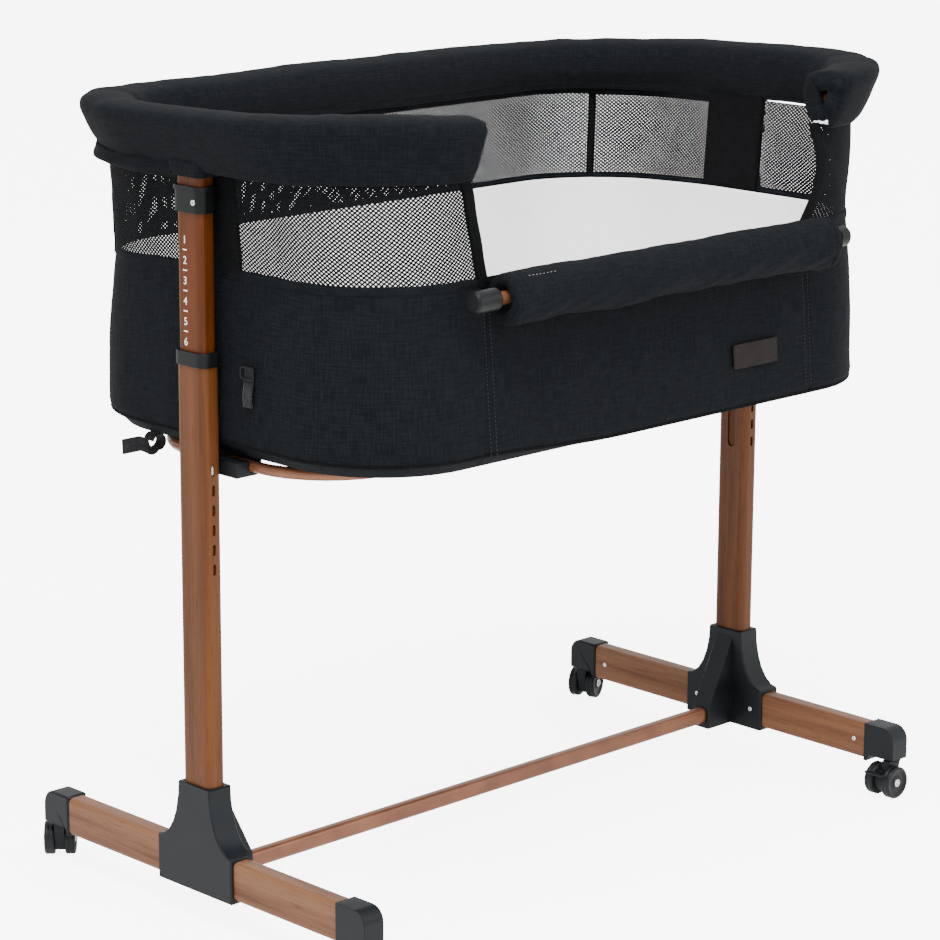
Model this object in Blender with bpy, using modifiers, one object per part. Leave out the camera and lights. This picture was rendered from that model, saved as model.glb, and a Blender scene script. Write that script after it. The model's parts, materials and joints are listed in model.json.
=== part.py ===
"""Bedside bassinet on a height-adjustable stand.

Two telescopic posts stand on two feet joined by a cross bar, each foot on two swivel
casters. The posts carry a padded rim, a fabric tub and a lower frame ring, which rise
and sink together. The front side has a padded rail that lifts to close the opening.

Metres, +Z up, floor at z = 0, origin under the middle. +X is the right end, -Y the
front with the drop side.
"""

import math

import bmesh
import bpy
from mathutils import Matrix, Vector

# ---------------------------------------------------------------- driving dimensions
FIT = 0.0003                 # gap between pieces that touch
SIDES = {"left": -1, "right": 1}

# telescopic posts
POST_SPACING = 0.840         # centre line to centre line, along X
POST_THICK = 0.024           # outer tube along X
POST_WIDE = 0.044            # outer tube along Y
POST_ROUND = 0.008
POST_WALL = 0.0016
POST_TOP = 0.606             # top of the outer tube
INNER_WALL = 0.0014
INNER_PLAY_X = 0.0004        # between inner and outer tube, each side
INNER_PLAY_Y = 0.0009
INNER_OVERLAP = 0.276        # inner tube left inside the outer one at the top level
INNER_TOP = 0.7965

# height levels
LEVELS = 6
LEVEL_PITCH = 0.021
LOCK_TOP = 0.491             # highest lock slot, on the front narrow face
LOCK_SLOT_WIDE = 0.004
LOCK_SLOT_TALL = 0.012
GUIDE_SLOT_WIDE = 0.012      # long slot in the inner broad face
GUIDE_ROOM = 0.005           # slot beyond the arm's travel, each end
BUTTON_WIDE = 0.0032
BUTTON_TALL = 0.009
BUTTON_PROUD = 0.0006        # nose beyond the inner tube, still inside the outer one
BUTTON_PLATE = 0.0018        # thickness of the plate behind the inner tube's wall
CUT_PAST = 0.005             # cutters reach this far beyond what they cut

# collar on the outer tube, clamp band and head plug on the inner tube
COLLAR_WALL = 0.002
COLLAR_LOW = 0.599
COLLAR_HIGH = 0.614
BAND_WALL = 0.003
BAND_LOW = 0.757
BAND_HIGH = 0.784
BAND_LIP = 0.0015
BAND_LIP_TALL = 0.005
BAND_MERGE = 0.001           # overlap of the lip and the band before they are joined
HEAD_PLUG_DEPTH = 0.018
HEAD_OVER = 0.002            # head block beyond the inner tube, all round
HEAD_BELOW_TUBE = 0.004      # head block's top below the rim tube's centre line
HEAD_MERGE = 0.004

# feet
FOOT_THICK = 0.024
FOOT_TALL = 0.043
FOOT_LENGTH = 0.4366
FOOT_ROUND = 0.006
FOOT_WALL = 0.0016
T_WALL = 0.0035              # connector around the tubes
T_LENGTH = 0.120             # along the foot
T_SOCKET = 0.071             # post socket above the foot tube
T_ROUND = 0.0015
GUSSET_REACH = 0.056         # inwards from the post's centre line
GUSSET_THICK = 0.025
GUSSET_RISE = 0.064          # gusset's top above the foot tube
CROSS_TALL = 0.019
CROSS_THICK = 0.015
CROSS_UP = 0.0125            # bar's centre line above the foot tube's underside
CROSS_WALL = 0.0012
CROSS_ROUND = 0.0055
CROSS_SEAT = 0.028           # length of bar held in each connector

# foot caps and casters
CAP_LENGTH = 0.0437
CAP_OVER = 0.0015            # cap beyond the tube, all round
CAP_ROUND = 0.016
CAP_PLUG = 0.022
CAP_NOTCH = 0.0065           # cap's underside over the caster, above the foot's
CASTER_CLEARANCE = 0.0050    # between wheel tops and cap
CAP_LIP = 0.0042             # full-height lip next to the tube
CAP_LIP_SLOPE = 0.003
CAP_EDGE = 0.002
CAP_PLUG_MERGE = 0.004       # how far the plug runs into the cap
STEM_INSET = 0.010           # caster axis in from the cap's end
STEM_RADIUS = 0.004
STEM_LENGTH = 0.022
WHEEL_RADIUS = 0.0190
WHEEL_EDGE = 0.002           # rounding of the tread
WHEEL_DISH = 0.0012          # depth of the dished face
WHEEL_BOSS = 0.008
WHEEL_THICK = 0.0115
WHEEL_SPACING = 0.025
TRAIL = 0.012
AXLE_RADIUS = 0.003
AXLE_PROUD = 0.0006          # axle beyond the wheels
WEB_THICK = 0.011
WEB_RADIUS = 0.0142
YOKE_RADIUS = 0.0092
YOKE_THICK = 0.0023
YOKE_NECK = 0.8              # web's back edge, as a share of the yoke's radius
YOKE_MERGE = 0.001           # how far the web runs up into the yoke's disc
LEVER_ROOT = 0.0036           # round root of the brake lever, in the yoke
LEVER_NECK = 0.0036           # thickness of its neck
LEVER_PIVOT_OUT = 0.008      # pivot from the wheels' axis, along and up
LEVER_PIVOT_UP = 0.0096
LEVER_RISE = 10              # degrees the lever slopes up from its pivot
LEVER_LENGTH = 0.0152        # pivot to the neck's end
LEVER_TAB_START = 0.0115     # pivot to the tab's near edge
LEVER_REACH = 0.017          # pivot to the tab's far edge
LEVER_SWING = 34             # degrees of room below the neck
LEVER_THICK = 0.003
LEVER_ROUND = 0.0007
LEVER_SIDE_GAP = 0.001       # neck's thickness short of the web's, each side
LEVER_WIDE = 0.026

# lower frame ring and brackets
RING_RADIUS = 0.0065
RING_HALF_LENGTH_IN = 0.035  # ring centre line in from the posts' centre line
RING_HALF_WIDTH = 0.150
RING_CORNER = 0.100
RING_Z = 0.494
BRACKET_WIDE = 0.090
BRACKET_ARM_WIDE = 0.011
BRACKET_ARM_TALL = 0.012
BRACKET_LIP = 0.004          # bracket beyond the ring, inwards
BRACKET_UNDER = 0.003        # bracket below the ring
BRACKET_SLOPE = 0.006        # chamfer of its inner lower edge

# fabric tub
TUB_TO_POST = 0.003
TUB_OVER_RING = 0.004
TUB_HALF_WIDTH_LOW = 0.250
TUB_HALF_WIDTH_TOP = 0.235
TUB_NARROWING = 0.005        # top half length under the bottom one
TUB_CORNER_LOW = 0.130
TUB_CORNER_TOP = 0.115
TUB_EDGE = 0.0135            # turned-in bottom edge
TUB_TOP = 0.697
TUB_WALL = 0.003
BOARD_THICK = 0.008
BOARD_INSET = 0.028            # the board stops short of the tub's walls
MATTRESS_THICK = 0.042
LINER_WALL = 0.0015
LINER_TOP = 0.683
SOFT_GAP = 0.002             # slack between soft pieces
LINER_START = 0.004          # liner's lower edge above the mattress's underside

# rim, mesh wall and drop side
OPENING_HALF = 0.264         # half of the gap in the rim at the front
RIM_OVER_TUB = 0.0085        # rim centre line outside the tub's top edge, front and back
RIM_CORNER = 0.168
RIM_BOTTOM = 0.800
RIM_TOP = 0.862
RIM_CROWN = 0.024            # rounded top of the pad, down to its widest level
RIM_FOOT_IN = 0.017          # narrow underside, inside and outside the centre line
RIM_FOOT_OUT = 0.004
RIM_OUT = 0.0315             # pad beyond the rim's centre line
RIM_IN = 0.028
RIM_TUBE_RADIUS = 0.008
RIM_TUBE_IN = 0.012          # tube's ends inside the pad's
RIM_TUBE_Z = 0.832
RIM_TUNNEL = 0.0095
MESH_WALL = 0.0015
MESH_TOP_IN = 0.0155         # mesh wall's top edge in from the rim's centre line
MESH_CORNER_TOP = 0.122
RAIL_RADIUS = 0.007
RAIL_OUT = 0.035             # rail centre line outside the tub's top edge
RAIL_Z = 0.684
ROLL_RADIUS = 0.028
ROLL_ROUND = 0.008           # rounding of the roll's ends, across and along
ROLL_ROUND_ALONG = 0.006
ROLL_HALF_LENGTH = 0.252
HUB_RADIUS = 0.0115
HUB_INNER = 0.262
HUB_OUTER = {"left": 0.294, "right": 0.278}   # the right hub is the short one
HUB_SEAT = 0.012             # depth of the rail's end in its hub
HUB_EDGE = 0.002

# label and anchor strap
LABEL_WIDE = 0.072
LABEL_TALL = 0.027
LABEL_THICK = 0.0012
LABEL_ROUND = 0.002
LABEL_X = 0.1565
LABEL_Z = 0.5665
STRAP_WIDE = 0.018
STRAP_THICK = 0.0018
STRAP_SLACK = 0.0012
STRAP_TAIL = 0.045
STRAP_DROOP = 0.004          # drop of the tail's end
STRAP_ANGLE = 32             # degrees round the ring's rear left corner

# facets
CORNER_STEPS = 4             # small tube corners
PLAN_STEPS = 8               # large plan corners
TURN_STEPS = 18              # turned pieces

# ---------------------------------------------------------------- worked out from them
POST_X = POST_SPACING / 2
INNER_THICK = POST_THICK - 2 * (POST_WALL + INNER_PLAY_X)
INNER_WIDE = POST_WIDE - 2 * (POST_WALL + INNER_PLAY_Y)
INNER_ROUND = POST_ROUND - POST_WALL - INNER_PLAY_X
TRAVEL = (LEVELS - 1) * LEVEL_PITCH
CAP_UNDERSIDE = 2 * WHEEL_RADIUS + CASTER_CLEARANCE
FOOT_BOTTOM = CAP_UNDERSIDE - CAP_NOTCH
FOOT_MIDDLE = FOOT_BOTTOM + FOOT_TALL / 2
FOOT_TOP = FOOT_BOTTOM + FOOT_TALL
T_HIGH = FOOT_TOP + T_SOCKET
GUSSET_HIGH = FOOT_TOP + GUSSET_RISE
CROSS_MIDDLE = FOOT_BOTTOM + CROSS_UP
CAP_START = FOOT_LENGTH / 2 + FIT
CAP_END = CAP_START + CAP_LENGTH
CASTER_Y = CAP_END - STEM_INSET
RING_HALF_LENGTH = POST_X - RING_HALF_LENGTH_IN
TUB_FLOOR = RING_Z + RING_RADIUS + TUB_OVER_RING
TUB_HALF_LENGTH_LOW = POST_X - POST_THICK / 2 - TUB_TO_POST
TUB_HALF_LENGTH_TOP = TUB_HALF_LENGTH_LOW - TUB_NARROWING
RIM_HALF_LENGTH = POST_X
RIM_HALF_WIDTH = TUB_HALF_WIDTH_TOP + RIM_OVER_TUB
RAIL_Y = -(TUB_HALF_WIDTH_TOP + RAIL_OUT)
INNER_BOTTOM = POST_TOP - INNER_OVERLAP

# ---------------------------------------------------------------- scene and materials
for old in list(bpy.data.objects):
    bpy.data.objects.remove(old, do_unlink=True)

parts = bpy.data.collections.new("bassinet_on_stand")
cutters = bpy.data.collections.new("cutters")
bpy.context.scene.collection.children.link(parts)
bpy.context.scene.collection.children.link(cutters)

FINISHES = {
    "wood_grain": ((0.29, 0.12, 0.035), 0.42, 0.0),
    "copper_tube": ((0.33, 0.15, 0.075), 0.35, 0.35),
    "charcoal_plastic": ((0.022, 0.026, 0.03), 0.45, 0.0),
    "tyre_black": ((0.015, 0.016, 0.018), 0.6, 0.0),
    "steel": ((0.62, 0.62, 0.60), 0.3, 1.0),
    "white_plastic": ((0.85, 0.85, 0.83), 0.4, 0.0),
    "charcoal_fabric": ((0.012, 0.015, 0.019), 0.9, 0.0),
    "black_mesh": ((0.01, 0.01, 0.012), 0.85, 0.0),
    "white_fabric": ((0.86, 0.86, 0.85), 0.9, 0.0),
    "board": ((0.30, 0.25, 0.19), 0.8, 0.0),
    "label_leather": ((0.035, 0.024, 0.02), 0.6, 0.0),
    "webbing": ((0.012, 0.013, 0.015), 0.8, 0.0),
}


def make_material(name):
    """A Principled material with the finish's colour, roughness and metallic value."""
    colour, roughness, metallic = FINISHES[name]
    material = bpy.data.materials.new(name)
    material.use_nodes = True
    shader = material.node_tree.nodes["Principled BSDF"]
    shader.inputs["Base Color"].default_value = (*colour, 1.0)
    shader.inputs["Roughness"].default_value = roughness
    shader.inputs["Metallic"].default_value = metallic
    material.diffuse_color = (*colour, 1.0)
    return material


MATERIALS = {name: make_material(name) for name in FINISHES}


# ---------------------------------------------------------------- modelling helpers
def new_object(name, mesh, place=None, collection=parts):
    """An object for a mesh, placed by a matrix."""
    made = bpy.data.objects.new(name, mesh)
    made.matrix_world = place or Matrix()
    collection.objects.link(made)
    return made


def finish(piece, material, sharp=35):
    """Gives a piece its material and smooth shading between its sharp edges."""
    piece.data.materials.clear()
    piece.data.materials.append(MATERIALS[material])
    piece.data.shade_smooth()
    piece.data.set_sharp_from_angle(angle=math.radians(sharp))
    return piece


def hide_cutter(cutter):
    """Marks an object as a cutter: out of renders and drawn as wire."""
    cutter.hide_render = True
    cutter.display_type = "WIRE"
    return cutter


def mesh_of(guide, name):
    """The closed mesh of a curve object, which is then removed."""
    bpy.context.view_layer.update()
    graph = bpy.context.evaluated_depsgraph_get()
    mesh = bpy.data.meshes.new_from_object(guide.evaluated_get(graph))
    mesh.name = name
    bpy.data.objects.remove(guide, do_unlink=True)
    shape = bmesh.new()
    shape.from_mesh(mesh)
    bmesh.ops.remove_doubles(shape, verts=shape.verts, dist=1e-6)
    bmesh.ops.recalc_face_normals(shape, faces=shape.faces)
    shape.to_mesh(mesh)
    shape.free()
    return mesh


def extruded(name, loops, low, high, across="Z", place=None, cutter=False):
    """A flat outline with its holes, extruded from low to high along X, Y or Z.

    The outline's two numbers are (x, y) across Z, (y, z) across X and (x, z) across Y.
    """
    curve = bpy.data.curves.new(name, "CURVE")
    curve.dimensions = "2D"
    curve.fill_mode = "BOTH"
    curve.extrude = (high - low) / 2
    for loop in loops:
        spline = curve.splines.new("POLY")
        spline.points.add(len(loop) - 1)
        for point, (u, v) in zip(spline.points, loop):
            point.co = (u, v, 0, 1)
        spline.use_cyclic_u = True
    guide = bpy.data.objects.new(name, curve)
    parts.objects.link(guide)
    mesh = mesh_of(guide, name)
    turn = {
        "Z": Matrix(((1, 0, 0), (0, 1, 0), (0, 0, 1))),
        "X": Matrix(((0, 0, 1), (1, 0, 0), (0, 1, 0))),
        "Y": Matrix(((1, 0, 0), (0, 0, -1), (0, 1, 0))),
    }[across].to_4x4()
    middle = Vector(((high + low) / 2 if axis == across else 0 for axis in "XYZ"))
    mesh.transform(Matrix.Translation(middle) @ turn)
    made = new_object(name, mesh, place, cutters if cutter else parts)
    return hide_cutter(made) if cutter else made


def swept(name, route, radius, closed=False, cutter=False, facets=2):
    """A round tube along a route of straight steps, with filled ends."""
    curve = bpy.data.curves.new(name, "CURVE")
    curve.dimensions = "3D"
    curve.bevel_depth = radius
    curve.bevel_resolution = facets
    curve.use_fill_caps = True
    curve.twist_mode = "Z_UP"
    spline = curve.splines.new("POLY")
    spline.points.add(len(route) - 1)
    for point, place in zip(spline.points, route):
        point.co = (*place, 1)
    spline.use_cyclic_u = closed
    guide = bpy.data.objects.new(name, curve)
    parts.objects.link(guide)
    made = new_object(name, mesh_of(guide, name), None, cutters if cutter else parts)
    return hide_cutter(made) if cutter else made


def turned(name, profile, axis="Z", place=None, cutter=False, steps=TURN_STEPS):
    """A profile of (radius, height) points, from the top down, turned round an axis."""
    mesh = bpy.data.meshes.new(name)
    shape = bmesh.new()
    points = [shape.verts.new((radius, 0, height)) for radius, height in profile]
    for first, second in zip(points, points[1:]):
        shape.edges.new((first, second))
    shape.to_mesh(mesh)
    shape.free()
    made = new_object(name, mesh, None, cutters if cutter else parts)
    screw = made.modifiers.new("turn", "SCREW")
    screw.steps = steps
    screw.render_steps = steps
    screw.use_merge_vertices = True
    screw.merge_threshold = 1e-5
    lay = {"Z": Matrix(), "Y": Matrix.Rotation(math.radians(-90), 4, "X"),
           "X": Matrix.Rotation(math.radians(90), 4, "Y")}[axis]
    made.matrix_world = (place or Matrix()) @ lay
    return hide_cutter(made) if cutter else made


def block(name, low, high, place=None, cutter=False):
    """A box between two corners."""
    mesh = bpy.data.meshes.new(name)
    shape = bmesh.new()
    low, high = Vector(low), Vector(high)
    size = high - low
    bmesh.ops.create_cube(shape, size=1, matrix=Matrix.Translation((low + high) / 2)
                          @ Matrix.Diagonal((*size, 1)))
    shape.to_mesh(mesh)
    shape.free()
    made = new_object(name, mesh, place, cutters if cutter else parts)
    return hide_cutter(made) if cutter else made


def combine(piece, other, operation):
    """Adds an exact Boolean with another object to a piece."""
    boolean = piece.modifiers.new(operation.lower(), "BOOLEAN")
    boolean.operation = operation
    boolean.solver = "EXACT"
    boolean.object = other
    return piece


def cut(piece, *tools):
    for tool in tools:
        combine(piece, tool, "DIFFERENCE")
    return piece


def join(piece, *others):
    """Unites pieces: the others are kept as hidden guides of the Boolean."""
    for other in others:
        for collection in list(other.users_collection):
            collection.objects.unlink(other)
        cutters.objects.link(other)
        hide_cutter(other)
        combine(piece, other, "UNION")
    return piece


def round_edges(piece, width, segments=1, angle=40):
    bevel = piece.modifiers.new("rounded edges", "BEVEL")
    bevel.width = width
    bevel.segments = segments
    bevel.limit_method = "ANGLE"
    bevel.angle_limit = math.radians(angle)
    return piece


# ---------------------------------------------------------------- outlines and routes
def rounded(half_u, half_v, radius, steps=CORNER_STEPS, middle=(0, 0)):
    """A rounded rectangle, anticlockwise from its right side."""
    radius = min(radius, half_u, half_v)
    points = []
    for turn, (su, sv) in enumerate(((1, 1), (-1, 1), (-1, -1), (1, -1))):
        for step in range(steps + 1):
            angle = math.radians(90) * (turn + step / steps)
            points.append((middle[0] + su * (half_u - radius) + radius * math.cos(angle),
                           middle[1] + sv * (half_v - radius) + radius * math.sin(angle)))
    return points


def arc(centre, radius_u, radius_v, start, end, steps):
    """Points of an elliptic arc between two angles in degrees."""
    angles = [math.radians(start + (end - start) * step / steps) for step in range(steps + 1)]
    return [(centre[0] + radius_u * math.cos(angle), centre[1] + radius_v * math.sin(angle))
            for angle in angles]


def tub_loop(half_length, half_width, corner, z):
    return [(x, y, z) for x, y in rounded(half_length, half_width, corner, PLAN_STEPS)]


def rim_route(half_length, half_width, corner, opening, z):
    """A rounded rectangle left open at the front, from its left end round the back."""
    past = max(opening - (half_length - corner), 0.0)
    used = math.degrees(math.asin(past / corner))
    route = [] if past else [(-opening, -half_width, z)]
    for turn, (sx, sy) in enumerate(((-1, -1), (-1, 1), (1, 1), (1, -1))):
        start = 270 - 90 * turn - (used if turn == 0 else 0)
        end = 180 - 90 * turn + (used if turn == 3 else 0)
        centre = (sx * (half_length - corner), sy * (half_width - corner))
        route += [(x, y, z) for x, y in arc(centre, corner, corner, start, end, PLAN_STEPS)]
    return route if past else route + [(opening, -half_width, z)]


# ---------------------------------------------------------------- feet and connectors
def post_outline(extra=0.0):
    return rounded(POST_THICK / 2 + extra, POST_WIDE / 2 + extra, POST_ROUND + extra)


def inner_outline(extra=0.0):
    return rounded(INNER_THICK / 2 + extra, INNER_WIDE / 2 + extra, INNER_ROUND + extra)


def foot_outline(extra=0.0):
    return rounded(FOOT_THICK / 2 + extra, FOOT_TALL / 2 + extra, FOOT_ROUND + extra)


def cross_outline(extra=0.0):
    half_thick, half_tall = CROSS_THICK / 2 + extra, CROSS_TALL / 2 + extra
    return rounded(half_thick, half_tall, CROSS_ROUND + extra)


def foot_tube(side):
    x = SIDES[side] * POST_X
    place = Matrix.Translation((x, 0, FOOT_MIDDLE))
    tube = extruded(f"foot_tube_{side}", [foot_outline(), foot_outline(-FOOT_WALL)],
                    -FOOT_LENGTH / 2, FOOT_LENGTH / 2, "Y", place)
    return finish(tube, "wood_grain")


def t_joint(side):
    """Connector: foot sleeve, post socket and a gusset with the cross bar's socket."""
    s = SIDES[side]
    place = Matrix.Translation((s * POST_X, 0, 0))
    half_x = max(POST_THICK, FOOT_THICK) / 2 + T_WALL
    low, shoulder = FOOT_BOTTOM - T_WALL, FOOT_TOP + T_WALL
    half_low, half_high = T_LENGTH / 2, POST_WIDE / 2 + T_WALL
    body_outline = [(-half_low, low), (half_low, low)]
    body_outline += arc((half_low, T_HIGH), half_low - half_high, T_HIGH - shoulder,
                        270, 180, 6)
    body_outline += arc((-half_low, T_HIGH), half_low - half_high, T_HIGH - shoulder,
                        0, -90, 6)
    body = extruded(f"t_joint_{side}", [body_outline], -half_x, half_x, "X", place)
    round_edges(body, T_ROUND)

    bar_shoulder = CROSS_MIDDLE + CROSS_TALL / 2 + T_WALL
    reach = GUSSET_REACH
    gusset_outline = [(0, low), (reach, low), (reach, bar_shoulder), (half_x, GUSSET_HIGH),
                      (0, GUSSET_HIGH)]
    gusset_outline = [(-s * u, v) for u, v in gusset_outline]
    gusset = extruded(f"gusset_{side}", [gusset_outline], -GUSSET_THICK / 2,
                      GUSSET_THICK / 2, "Y", place)
    round_edges(gusset, T_ROUND)
    join(body, gusset)

    foot_hole = extruded(f"foot_hole_{side}", [foot_outline(FIT)], -T_LENGTH, T_LENGTH, "Y",
                         Matrix.Translation((s * POST_X, 0, FOOT_MIDDLE)), cutter=True)
    post_hole = extruded(f"post_hole_{side}", [post_outline(FIT)], FOOT_TOP, T_HIGH + 0.05,
                         "Z", place, cutter=True)
    seat_end = reach - CROSS_SEAT - FIT
    bar_x = sorted((-s * (reach + 0.02), -s * seat_end))
    bar_hole = extruded(f"bar_hole_{side}", [[(y, z) for y, z in cross_outline(FIT)]],
                        *bar_x, "X",
                        Matrix.Translation((s * POST_X, 0, CROSS_MIDDLE)), cutter=True)
    cut(body, foot_hole, post_hole, bar_hole)
    return finish(body, "charcoal_plastic")


def cross_bar():
    half = POST_X - GUSSET_REACH + CROSS_SEAT
    bar = extruded("cross_bar", [cross_outline(), cross_outline(-CROSS_WALL)], -half, half,
                   "X", Matrix.Translation((0, 0, CROSS_MIDDLE)))
    return finish(bar, "copper_tube")


def foot_cap(side, end):
    """End cap: a visible block with a rounded nose, and a plug inside the foot tube."""
    s, e = SIDES[side], {"front": -1, "rear": 1}[end]
    place = Matrix.Translation((s * POST_X, 0, 0))
    half_x = FOOT_THICK / 2 + CAP_OVER
    top, low = FOOT_TOP + CAP_OVER, FOOT_BOTTOM - CAP_OVER
    nose = arc((CAP_END - CAP_ROUND, top - CAP_ROUND), CAP_ROUND, CAP_ROUND, 90, 0, 6)
    outline = [(CAP_START, low), (CAP_START, top)] + nose
    outline += [(CAP_END, CAP_UNDERSIDE), (CAP_START + CAP_LIP + CAP_LIP_SLOPE, CAP_UNDERSIDE),
                (CAP_START + CAP_LIP, low)]
    cap = extruded(f"foot_cap_{end}_{side}", [[(e * y, z) for y, z in outline]],
                   -half_x, half_x, "X", place)
    round_edges(cap, CAP_EDGE, 1, 30)
    y_in, y_out = CAP_START - CAP_PLUG, CAP_START + CAP_PLUG_MERGE
    plug = extruded(f"cap_plug_{end}_{side}", [foot_outline(-FOOT_WALL - FIT)],
                    *sorted((e * y_in, e * y_out)), "Y",
                    Matrix.Translation((s * POST_X, 0, FOOT_MIDDLE)))
    join(cap, plug)
    hole = turned(f"stem_hole_{end}_{side}",
                  [(0, STEM_LENGTH + FIT), (STEM_RADIUS + FIT, STEM_LENGTH + FIT),
                   (STEM_RADIUS + FIT, -CUT_PAST), (0, -CUT_PAST)], "Z",
                  Matrix.Translation((s * POST_X, e * CASTER_Y, CAP_UNDERSIDE)),
                  cutter=True, steps=16)
    cut(cap, hole)
    return finish(cap, "charcoal_plastic")


# ---------------------------------------------------------------- casters
CASTER_HEADINGS = {          # degrees about Z that each caster's wheels trail
    ("front", "right"): 180, ("rear", "right"): 22,
    ("rear", "left"): 48, ("front", "left"): 20,
}


def caster(side, end):
    """Swivel caster: yoke with stem, axle, two wheels and a brake lever."""
    s, e = SIDES[side], {"front": -1, "rear": 1}[end]
    name = f"{end}_{side}"
    swivel = bpy.data.objects.new(f"swivel_{name}", None)
    parts.objects.link(swivel)
    swivel.location = (s * POST_X, e * CASTER_Y, 0)
    swivel.rotation_euler.z = math.radians(CASTER_HEADINGS[(end, side)])
    bpy.context.view_layer.update()
    here = swivel.matrix_world.copy()

    yoke_top = CAP_UNDERSIDE - FIT
    yoke_low = yoke_top - YOKE_THICK
    neck = arc((TRAIL, WHEEL_RADIUS), WEB_RADIUS, WEB_RADIUS, 75, -150, 12)
    web_top = yoke_low + YOKE_MERGE
    web_outline = [(-YOKE_RADIUS * YOKE_NECK, web_top), (TRAIL, web_top)] + neck
    yoke = extruded(f"caster_yoke_{name}", [web_outline], -WEB_THICK / 2, WEB_THICK / 2,
                    "Y", here)
    stem_top = CAP_UNDERSIDE + STEM_LENGTH - FIT
    stem = turned(f"caster_stem_{name}",
                  [(0, stem_top), (STEM_RADIUS, stem_top), (STEM_RADIUS, yoke_top),
                   (YOKE_RADIUS, yoke_top), (YOKE_RADIUS, yoke_low), (0, yoke_low)],
                  "Z", here, steps=16)
    join(yoke, stem)
    axle_place = here @ Matrix.Translation((TRAIL, 0, WHEEL_RADIUS))
    half_hole = WEB_THICK
    bore = turned(f"axle_bore_{name}",
                  [(0, half_hole), (AXLE_RADIUS + FIT, half_hole),
                   (AXLE_RADIUS + FIT, -half_hole), (0, -half_hole)], "Y", axle_place,
                  cutter=True, steps=16)
    pivot = (TRAIL + LEVER_PIVOT_OUT, WHEEL_RADIUS + LEVER_PIVOT_UP)
    pocket = lever_root(f"lever_pocket_{name}", pivot, FIT, WEB_THICK, here, True)
    cut(yoke, bore, pocket)
    finish(yoke, "charcoal_plastic")

    half_axle = WHEEL_SPACING / 2 + WHEEL_THICK / 2 + AXLE_PROUD
    axle = turned(f"caster_axle_{name}",
                  [(0, half_axle), (AXLE_RADIUS, half_axle), (AXLE_RADIUS, -half_axle),
                   (0, -half_axle)], "Y", axle_place, steps=16)
    finish(axle, "steel")
    for label, hand in (("inner", -1), ("outer", 1)):
        wheel_place = axle_place @ Matrix.Translation((0, hand * WHEEL_SPACING / 2, 0))
        if hand < 0:
            wheel_place = wheel_place @ Matrix.Rotation(math.pi, 4, "Z")
        wheel(f"wheel_{label}_{name}", wheel_place)
    lever(name, pivot, here)
    for made in parts.objects:
        if made.name.endswith(name) and made.type == "MESH" and "cap" not in made.name:
            kept = made.matrix_world.copy()
            made.parent = swivel
            made.matrix_parent_inverse = swivel.matrix_world.inverted()
            made.matrix_world = kept


def wheel(name, place):
    """A dished wheel with a bore for the axle, its outer face towards +Y."""
    half, bore = WHEEL_THICK / 2, AXLE_RADIUS + FIT
    dish = half - WHEEL_DISH
    profile = [(bore, half), (WHEEL_BOSS, half), (WHEEL_BOSS + WHEEL_DISH, dish),
               (WHEEL_RADIUS - 2 * WHEEL_EDGE, dish), (WHEEL_RADIUS - WHEEL_EDGE, half),
               (WHEEL_RADIUS, half - WHEEL_EDGE), (WHEEL_RADIUS, -half), (bore, -half),
               (bore, half)]
    return finish(turned(name, profile, "Y", place), "tyre_black")


def lever_root(name, pivot, extra, thick, place, cutter):
    """The round pivot and neck of a brake lever, in the plane of the yoke's web."""
    radius, half_neck = LEVER_ROOT + extra, LEVER_NECK / 2 + extra * 2
    rise = math.radians(LEVER_RISE)
    tip = Vector(pivot) + Vector((math.cos(rise), math.sin(rise))) * LEVER_LENGTH
    side = Vector((-math.sin(rise), math.cos(rise))) * half_neck
    opening = math.degrees(math.asin(half_neck / radius))
    if cutter:
        swing = arc(pivot, LEVER_REACH, LEVER_REACH, LEVER_RISE + opening,
                    LEVER_RISE - LEVER_SWING, 6)
        outline = (arc(pivot, radius, radius, LEVER_RISE + 60, LEVER_RISE + 300, 12)
                   + swing[::-1])
    else:
        outline = arc(pivot, radius, radius, LEVER_RISE + opening,
                      LEVER_RISE + 360 - opening, 12)
        outline += [tuple(tip - side), tuple(tip + side)]
    return extruded(name, [outline], -thick / 2, thick / 2, "Y", place, cutter)


def lever(name, pivot, here):
    """A brake lever: its root turns in the yoke, its wide tab lies behind the wheels."""
    root = lever_root(f"brake_lever_{name}", pivot, 0.0, WEB_THICK - 2 * LEVER_SIDE_GAP,
                      here, False)
    rise = math.radians(LEVER_RISE)
    far = Vector((math.cos(rise), math.sin(rise)))
    up = Vector((-far.y, far.x))
    start, end = Vector(pivot) + far * LEVER_TAB_START, Vector(pivot) + far * LEVER_REACH
    tab_outline = [start - up * LEVER_THICK / 2, end - up * LEVER_THICK / 2,
                   end + up * LEVER_THICK / 2, start + up * LEVER_THICK / 2]
    tab = extruded(f"lever_tab_{name}", [[tuple(point) for point in tab_outline]],
                   -LEVER_WIDE / 2, LEVER_WIDE / 2, "Y", here)
    join(root, round_edges(tab, LEVER_ROUND))
    move_origin(root, here @ Vector((pivot[0], 0, pivot[1])))
    return finish(root, "charcoal_plastic")


def move_origin(piece, point):
    """Puts a piece's origin at a world point, its shape unmoved."""
    shift = piece.matrix_world.inverted() @ Vector(point)
    piece.data.transform(Matrix.Translation(-shift))
    piece.matrix_world = piece.matrix_world @ Matrix.Translation(shift)
    return piece


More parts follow.
